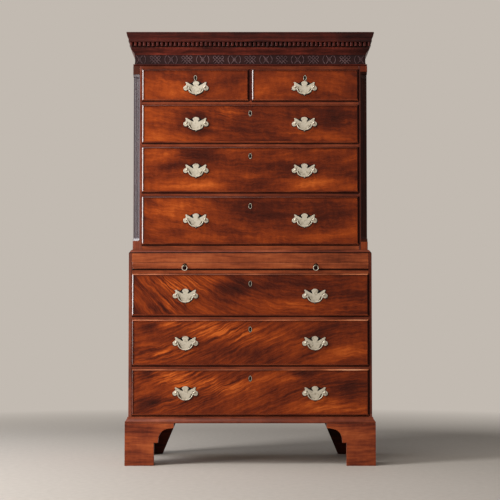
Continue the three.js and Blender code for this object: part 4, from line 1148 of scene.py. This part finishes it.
bead_profile = [(inset, 0, proud) for inset, proud in metres(
    (5.5, -3), (5.5, 4), (5.1, 4), (2.1, 2.5), (0.9, 1.2), (0.3, -0.2), (0, -1.4), (0, -3), (5.5, -3))]


def bead_side(spot, low, high):
    """Which of the four beads of a front a face belongs to."""
    middle = (low + high) / 2
    if abs(spot.x - middle.x) > (high.x - low.x) / 2 - BEAD_WIDTH - 10 * SAME_POINT:
        return "left" if spot.x < middle.x else "right"
    return "foot" if spot.z < middle.z else "head"


print("bead tree has", len(tree.nodes), "nodes")

# %% Keyholes and dovetails
KEYHOLE_SHARES = {"1_left": 0.731, "1_right": 0.731, "2": 0.779, "3": 0.803, "4": 0.804,
                  "5": 0.768, "6": 0.787, "7": 0.8}
TAIL_PITCH = 36 * MM


def sheet(outline, plane, near, far, hole=()):
    """A thin shape that faces the front, from near to far in millimetres behind a plane."""
    return prism(outline, "y", plane + near * MM, plane + far * MM, hole)


def keyhole_outline(x, z):
    """The round head and flared foot of a keyhole."""
    radius, foot_half, drop = 3.2 * MM, 1.9 * MM, 10.5 * MM
    start = math.asin(0.6 * foot_half / radius)
    arc = [(x + radius * math.sin(a), z - radius * math.cos(a)) for a in spread(start, 2 * math.pi - start, 18)]
    return [*arc, (x - foot_half, z - drop), (x + foot_half, z - drop)]


def tails_of(foot, head):
    """The dovetails up a board: the middle of each tail, and its half width at root and tip."""
    count = max(3, round((head - foot) / TAIL_PITCH))
    pitch = (head - foot) / count
    return [(foot + (i + 0.5) * pitch, pitch * 0.3, pitch * 0.4) for i in range(count)]


def side_outline(shoulder, tip, end, foot, head):
    outline = [(end, foot), (end, head), (shoulder, head)]
    for middle, root, far in reversed(tails_of(foot, head)):
        outline += [(shoulder, middle + root), (tip, middle + far), (tip, middle - far), (shoulder, middle - root)]
    return [*outline, (shoulder, foot)]


def pin_outlines(shoulder, tip, foot, head):
    gap = 0.15 * MM
    edges = [(foot, foot)]
    for middle, root, far in tails_of(foot, head):
        edges += [(middle - root, middle - far), (middle + root, middle + far)]
    edges.append((head, head))
    return [[(shoulder, low[0] + gap), (tip, low[1] + gap), (tip, high[1] - gap), (shoulder, high[0] - gap)]
            for low, high in zip(edges[::2], edges[1::2])]


print("tails on a tall drawer:", len(tails_of(0, 0.19)))

# %% The drawers
WALL = 10 * MM
# Beads whose wood stands in for light: pale head beads on the lower drawers as a painted highlight, and a duller left
# bead on the two lowest.
AGED_BEADS = {("5", "head"): "worn", ("6", "head"): "worn", ("7", "head"): "worn",
              ("6", "left"): "dulled", ("7", "left"): "dulled"}
for drawer in DRAWERS:
    body = f"drawer_{drawer}"
    low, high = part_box(body)
    face, end, foot, head = low.y + BEAD_PROUD, high.y, low.z + SEAT, high.z
    box_foot, box_head = low.z, high.z - 2.4 * MM
    tip, shoulder = face + 6 * MM, face + 20 * MM
    inner_low, inner_high = low.x + WALL, high.x - WALL
    key_x, eye_z = (low.x + high.x) / 2, low.z + KEYHOLE_SHARES[drawer] * (head - low.z) - 1 * MM
    hole, recess, inner_ring, ring = (
        oval(key_x, eye_z, *size) for size in metres((5.1, 10.3), (5.61, 10.3), (5, 10.3), (6.4, 11.8)))
    panel = rectangle(low.x + BEAD_WIDTH, foot + BEAD_WIDTH, high.x - BEAD_WIDTH, head - BEAD_WIDTH)
    make_piece(f"front_{drawer}", [sheet(panel, face, 0, 3.5, hole)], f"veneer_{drawer}", body, 0, (body,))
    core = [block((low.x, face + 3.2 * MM, foot), (high.x, tip, head)),
            block((inner_low, tip - 1 * MM, foot), (inner_high, shoulder, head))]
    for outline in pin_outlines(shoulder, tip - 1 * MM, box_foot + SEAT, box_head):
        core += [prism(outline, "x", low.x, inner_low), prism(outline, "x", inner_high, high.x)]
    make_piece(f"front_core_{drawer}", core, "mahogany", body)
    sides = side_outline(shoulder, tip, end, box_foot, box_head)
    make_piece(f"lining_{drawer}", [
        prism(sides, "x", low.x, inner_low), prism(sides, "x", inner_high, high.x),
        block((inner_low - 2 * MM, end - WALL, box_foot + 13 * MM), (inner_high + 2 * MM, end, box_head - 10 * MM)),
        block((inner_low - 2 * MM, shoulder - 2 * MM, box_foot + 5 * MM),
              (inner_high + 2 * MM, end - 0.5 * MM, box_foot + 12.7 * MM)),
    ], "oak", body, 0.5 * MM)
    beads = line_object(f"cock_beads_{drawer}", bead_profile)
    run_tree(beads, bead_tree, "head_bead", {
        "Middle": ((low.x + high.x) / 2, face, (foot + head) / 2), "Half width": (high.x - low.x) / 2,
        "Half height": (head - foot) / 2})
    close_and_merge(beads)
    # Each side's bead takes its own wood by how the light falls on it.
    for side in ("left", "right", "head", "foot"):
        bead = bare_object(f"{side}_bead_{drawer}", [], [])
        bead.data = beads.data.copy()
        with opened(bead) as one_side:
            others = [f for f in one_side.faces if side != bead_side(f.calc_center_median(), low, high)]
            bmesh.ops.delete(one_side, geom=others, context="FACES")
            bmesh.ops.holes_fill(one_side, edges=[e for e in one_side.edges if e.is_boundary])
            bmesh.ops.recalc_face_normals(one_side, faces=one_side.faces)
        dress(bead, f"{AGED_BEADS.get((drawer, side), side)}_bead", body)
    bpy.data.objects.remove(beads)
    make_piece(f"escutcheon_{drawer}", [sheet(ring, face, -0.6, 2, inner_ring)], "brass", body, 0.3 * MM)
    # A dark ring round the escutcheon, set a little low, paints its shadow.
    surround = oval(key_x, eye_z - 0.4 * MM, 8 * MM, 13.4 * MM)
    make_piece(f"keyhole_shadow_ring_{drawer}", [sheet(surround, face, -0.15, 2, ring)], "old_grime", body)
    # Near-black sheets in and behind the keyhole paint the shade inside it.
    keyhole = keyhole_outline(key_x, eye_z + 3.5 * MM)
    make_piece(f"keyhole_{drawer}", [sheet(recess, face, 1.2, 2.4, keyhole), sheet(recess, face, 2.5, 3.1)],
               "dark_hollow", body)
print("drawers:", len(DRAWERS))

# %% Painted shadow lines where the drawers and the slide meet the case, and two dark faces beside the drawers that paint the shade there
shadow_strips = []
# Near-black strips under each drawer and to its right paint the shadow its proud bead casts on the case.
for drawer in DRAWERS:
    low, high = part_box(f"drawer_{drawer}")
    for outline in (rectangle(low.x, low.z - 6.2 * MM, high.x + 1 * MM, low.z - 0.8 * MM),
                    rectangle(high.x + 0.9 * MM, low.z - 3 * MM, high.x + 4.5 * MM, high.z)):
        shadow_strips.append(sheet(outline, low.y + BEAD_PROUD, -0.15, 2))
low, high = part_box("brushing_slide")
# Two more strips paint the shade under and over the slide's lip.
for foot, head in ((low.z - 6.5 * MM, low.z - 0.8 * MM), (high.z + 0.5 * MM, high.z + 1.8 * MM)):
    shadow_strips.append(sheet(rectangle(low.x, foot, high.x, head), lower_front, -0.15, 2))
make_piece("drawer_shadow_lines", shadow_strips, "old_grime")
low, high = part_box("drawer_1_left")
# A dark face over the muntin paints the shade between the two small drawers.
muntin = rectangle(high.x + 4.6 * MM, low.z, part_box("drawer_1_right")[0].x - 0.8 * MM, high.z)
make_piece("muntin_shade_face", [sheet(muntin, low.y + BEAD_PROUD, -0.15, 2)], "dark_mahogany")
# A dark face on the right stile of the lower case paints the shade cast by the drawers.
stile = rectangle(lower_opening_half, lower_side_low.z + 26 * MM, lower_half - 0.6 * MM, lower_side_high.z - 1 * MM)
make_piece("lower_right_stile_shade", [sheet(stile, lower_front, -0.1, 2)], "shaded_mahogany")
print("dark lines:", len(shadow_strips))

# %% [markdown]
# ## Handles
# Each handle is a cast plate with a bat-wing outline, two turned posts and a swinging bail that
# swells in the middle. The outline is drawn as half and mirrored, as a pattern maker would. The
# bail follows a path, so a tree sweeps a round section along it with a swelling radius. A
# slightly larger dark plate lies behind every plate, shifted right and down: partly old polish,
# partly a painted shadow. Dark slits on the plate paint the shadow of the bail.

# %% The outline of a handle plate
PLATE_HALF, PLATE_UP, PLATE_DOWN, POST_REACH = metres(53, 30, 31, 38.5)


def bend_through(start, corner, end, steps=6):
    first, second = (tuple((point[k] + 2 * corner[k]) / 3 for k in (0, 1)) for point in (start, end))
    return curve_points(start, first, second, end, steps)


def plate_outline():
    shares = [(0, 1)]
    for corner, end, steps in (((0.21, 1.0), (0.27, 0.66), 6), ((0.17, 0.5), (0.19, 0.3), 6),
                               ((0.46, 0.52), (0.72, 0.84), 6), ((0.82, 0.9), (0.84, 0.76), 3),
                               ((0.72, 0.5), (0.84, 0.34), 6)):
        shares += bend_through(shares[-1], corner, end, steps)[1:]
    points = [(u * PLATE_HALF, v * PLATE_UP) for u, v in shares]
    volute = 0.19 * PLATE_HALF
    points += [(0.81 * PLATE_HALF + volute * math.cos(a), volute * math.sin(a))
               for a in spread(math.pi / 3, -0.8 * math.pi, 16)]
    lower = bend_through((0.6, -0.2), (0.55, -0.72), (0.13, -0.82))
    lower += bend_through((0.13, -0.82), (0.05, -0.86), (0, -1), 3)[1:]
    points += [(u * PLATE_HALF, v * PLATE_DOWN) for u, v in lower]
    return [*points, *[(-x, z) for x, z in reversed(points[1:-1])]]


outline = plate_outline()
print("plate outline has", len(outline), "points")

# %% The bail tree
tree, inlets = new_tree("bail", {"Radius": "Float", "Swell": "Float"})
path = add_node(tree, "GeometryNodeMeshToCurve", {"Mesh": inlets["Geometry"]})
share = add_node(tree, "GeometryNodeSplineParameter", out="Factor")
hump = maths(tree, "POWER", maths(tree, "SINE", maths(tree, "MULTIPLY", share, math.pi)), 3.0)
width = maths(tree, "MULTIPLY_ADD", hump, inlets["Swell"], inlets["Radius"])
sized = add_node(tree, "GeometryNodeSetCurveRadius", {"Curve": path, "Radius": width})
section = add_node(tree, "GeometryNodeCurvePrimitiveCircle", {"Resolution": 12, "Radius": 1.0}, "Curve")
swept = add_node(tree, "GeometryNodeCurveToMesh", {"Curve": sized, "Profile Curve": section, "Fill Caps": True})
if "Scale" in swept.node.inputs:
    tree.links.new(add_node(tree, "GeometryNodeInputRadius"), swept.node.inputs["Scale"])
finish_tree(tree, swept, inlets)
bail_tree = tree


def bail_path():
    """A smooth line through the knots of a hanging bail, from one post to the other."""
    knots = metres((37.7, 0), (31.7, 0), (30.9, -8), (25.8, -19.2), (13.5, -28.16), (0, -29.9))
    knots += [(-x, z) for x, z in reversed(knots[:-1])]
    points = []
    for i in range(len(knots) - 1):
        a, b, c, d = (knots[max(0, min(len(knots) - 1, i + k))] for k in (-1, 0, 1, 2))
        for t in spread(0, 1, 8)[:-1]:
            points.append(tuple(0.5 * (2 * b[k] + (c[k] - a[k]) * t + (2 * a[k] - 5 * b[k] + 4 * c[k] - d[k]) * t * t
                                       + (3 * b[k] - a[k] - 3 * c[k] + d[k]) * t ** 3) for k in (0, 1)))
    return [*points, knots[-1]]


route = bail_path()
print("bail path has", len(route), "points")

# %% The handles
post_profile = metres((5.5, 0), (5.5, -0.8), (4.2, -1.6), (3, -3.2), (2.7, -5.5), (3.6, -6.4), (4.5, -8.6),
                      (4.7, -11), (4.2, -13.4), (2.6, -15), (0.3, -15.6))
notch = ((0.05, 0.95), (0.26, 0.94), (0.46, 0.72), (0.72, 0.9), (0.6, 0.6), (0.05, 0.2))
BAIL_SHADOW_SHAPES = metres(((-28.5, -2.5), (-27, -12), (-21, -20.5), (-12, -24), (-17.5, -15), (-21, -9), (-23.5, -2.5)),
                 ((-36.5, 10), (-31.5, 9), (-28.4, 5), (-28, 0), (-30.2, -4.5), (-31.8, 0), (-32.2, 4), (-34, 7)))
nut = turned(metres((1, 4.2), (4.6, 3.8), (5.4, 2), (5.4, 0)), (0, 0, 0), 6)


def place_of(handle):
    """The middle, seat and level of a handle's plate, the level of its posts and the body it rides on."""
    node = f"handle_plate_{handle}"
    low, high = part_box(node)
    level = low.z + PLATE_DOWN
    return (low.x + high.x) / 2, high.y, level, level + 4 * MM, frame["nodes"][node]["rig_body"]


for handle in HANDLES:
    middle, seat, level, pivot, body = place_of(handle)
    plate = sheet([(middle + u, level + v) for u, v in outline], seat, -2, 0)
    make_piece(f"plate_{handle}", [plate], "brass", body, 0.7 * MM, (f"handle_plate_{handle}",))
    posts = [turned(post_profile, (middle + sign * POST_REACH, seat - 2 * MM, pivot), 20) for sign in (-1, 1)]
    make_piece(f"posts_{handle}", posts, "brass", body)
    # A larger dark plate, shifted right and down, is partly old polish and partly a painted shadow; dark notches
    # beside the crest paint its shade.
    larger = [(middle + 1.04 * u + 0.8 * MM, level + 1.06 * v - 2.2 * MM) for u, v in outline]
    polish = [sheet(larger, seat, -0.25, 0)]
    polish += [sheet([(middle + sign * u * PLATE_HALF + 0.6 * MM, level + v * PLATE_UP) for u, v in notch],
                     seat, -0.2, 0) for sign in (-1, 1)]
    make_piece(f"polish_and_shadow_{handle}", polish, "dark_hollow", body)
    # Dark slits on the plate paint the shadow of the bail and beside the posts.
    slits = [sheet([(middle + sign * u, level + v) for u, v in hollow], seat, -2.2, -1.8)
             for hollow in BAIL_SHADOW_SHAPES for sign in (-1, 1)]
    make_piece(f"bail_shadow_{handle}", slits, "tarnish_and_shade", body)
for handle in HANDLES:
    middle, seat, _, pivot, _ = place_of(handle)
    bail = line_object(f"bail_wire_{handle}", [(middle + x, seat - 13 * MM, pivot + z) for x, z in route])
    run_tree(bail, bail_tree, "brass", {"Radius": 1.7 * MM, "Swell": 0.7 * MM})
    finish_made(bail, "brass", f"bail_{handle}", (f"bail_{handle}",))
for handle in HANDLES:
    middle, seat, _, pivot, body = place_of(handle)
    nuts = row_of(f"nuts_{handle}", nut, 2, (middle - POST_REACH, seat + 20.4 * MM, pivot),
                  (2 * POST_REACH, 0, 0), "brass")
    finish_made(nuts, "brass", body)
print("handles:", len(HANDLES))

# %% [markdown]
# ## Brushing slide
# A thin board slides out under the waist to lay clothes on. Its front is lipped with a rounded
# strip, with a pale strip along the top as a painted highlight, and two drop rings on turned
# roses pull it. Dark ovals paint the shade inside and above each ring. The lip's section is
# drawn with its rounded edges and pushed along. The rings are a circle swept round a circle.

# %% The slide
low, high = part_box("brushing_slide")
half, slide_foot, slide_head = high.x, low.z, high.z
lip_front, panel_front, lip_round = lower_front - 1.5 * MM, lower_front + 24.1 * MM, 3 * MM
quarter = [(lip_round * math.sin(a), lip_round * math.cos(a)) for a in spread(0, math.pi / 2, 6)]
lip_section = [(lower_front + 24 * MM, slide_foot), (lower_front + 24 * MM, slide_head),
               *[(lip_front + lip_round - s, slide_head - lip_round + c) for s, c in quarter],
               *[(lip_front + lip_round - c, slide_foot + lip_round - s) for s, c in quarter]]
# A pale strip along the top of the lip paints a highlight.
lip_highlight = [(lip_front + y, slide_head + z)
             for y, z in metres((-0.12, -3.8), (0.7, -1.1), (3, 0.05), (3, -1.5), (1.5, -3.8))]
# A narrow facet at the left end of the lip takes the shining left-bead wood to catch a highlight.
end_face = [(-half + x, lip_front + y) for x, y in metres((0, 1.9), (3.8, -0.1), (3.8, 3), (0, 3))]
board = [block((-half + 70 * MM, panel_front, slide_foot), (half - 70 * MM, high.y, slide_foot + 20 * MM)),
         *both_sides(block((half - 69.8 * MM, panel_front, slide_foot), (half, high.y, slide_foot + 20 * MM)))]
for name, solids, finish, bevel, replaced in (
        ("slide_lip", [prism(lip_section, "x", -half, half)], "rail_mahogany", 0, ("brushing_slide",)),
        ("slide_worn_edge", [prism(lip_highlight, "x", -half + 4 * MM, half)], "slide_edge", 0, ()),
        ("slide_end_left", [prism(end_face, "z", slide_foot + 1 * MM, slide_head - 1 * MM)], "left_bead", 0, ()),
        ("slide_panel", board, "mahogany", ARRIS, ())):
    make_piece(name, solids, finish, "brushing_slide", bevel, replaced)
rose_profile = metres((6, 0), (6, -0.8), (5, -1.8), (3.2, -2.4), (2.2, -3.6), (2.1, -5), (2.8, -6), (3.8, -7.6),
                      (4, -9.5), (3.5, -11.6), (2.2, -13), (0.3, -13.6))
WIRE_RADIUS, RING_RADIUS = metres(1.35, 10.5)
WIRE_STEPS, RING_STEPS = 10, 36
wire = [(WIRE_RADIUS * math.cos(a), WIRE_RADIUS * math.sin(a)) for a in spread(0, 2 * math.pi, WIRE_STEPS)[:-1]]
for name, _ in SIDES:
    low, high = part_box(f"ring_{name}")
    middle, plane, pivot = (low.x + high.x) / 2, (low.y + high.y) / 2, high.z - 2 * MM
    rose = turned(rose_profile, (middle, lip_front, pivot), 20)
    make_piece(f"ring_rose_{name}", [rose], "tarnish_and_shade", "brushing_slide")
    # Dark ovals paint the shade inside the ring and above its rose.
    hollow = oval(middle + 0.6 * MM, pivot - 9 * MM, 9.6 * MM, 11 * MM)
    halo = oval(middle + 0.8 * MM, pivot + 0.5 * MM, 10 * MM, 9 * MM)
    make_piece(f"ring_shade_ovals_{name}", [sheet(hollow, lip_front, -0.2, 2), sheet(halo, lip_front, -0.1, 2)],
               "old_grime", "brushing_slide")
    rings = [[(middle + (RING_RADIUS + out) * math.cos(turn), plane + side,
               pivot - RING_RADIUS + (RING_RADIUS + out) * math.sin(turn)) for out, side in wire]
             for turn in spread(0, 2 * math.pi, RING_STEPS)[:-1]]
    make_piece(f"drop_ring_{name}", [skin(rings, closed=True)], "brass", f"ring_{name}", 0, (f"ring_{name}",))
print("slide foot", round(slide_foot, 4))

# %% The sizes of the CAD model and the dressed one
visual_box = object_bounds()
for label, (low, high) in (("cad", cad_box), ("visual", visual_box)):
    print(label, [round(h - l, 4) for l, h in zip(low, high)])
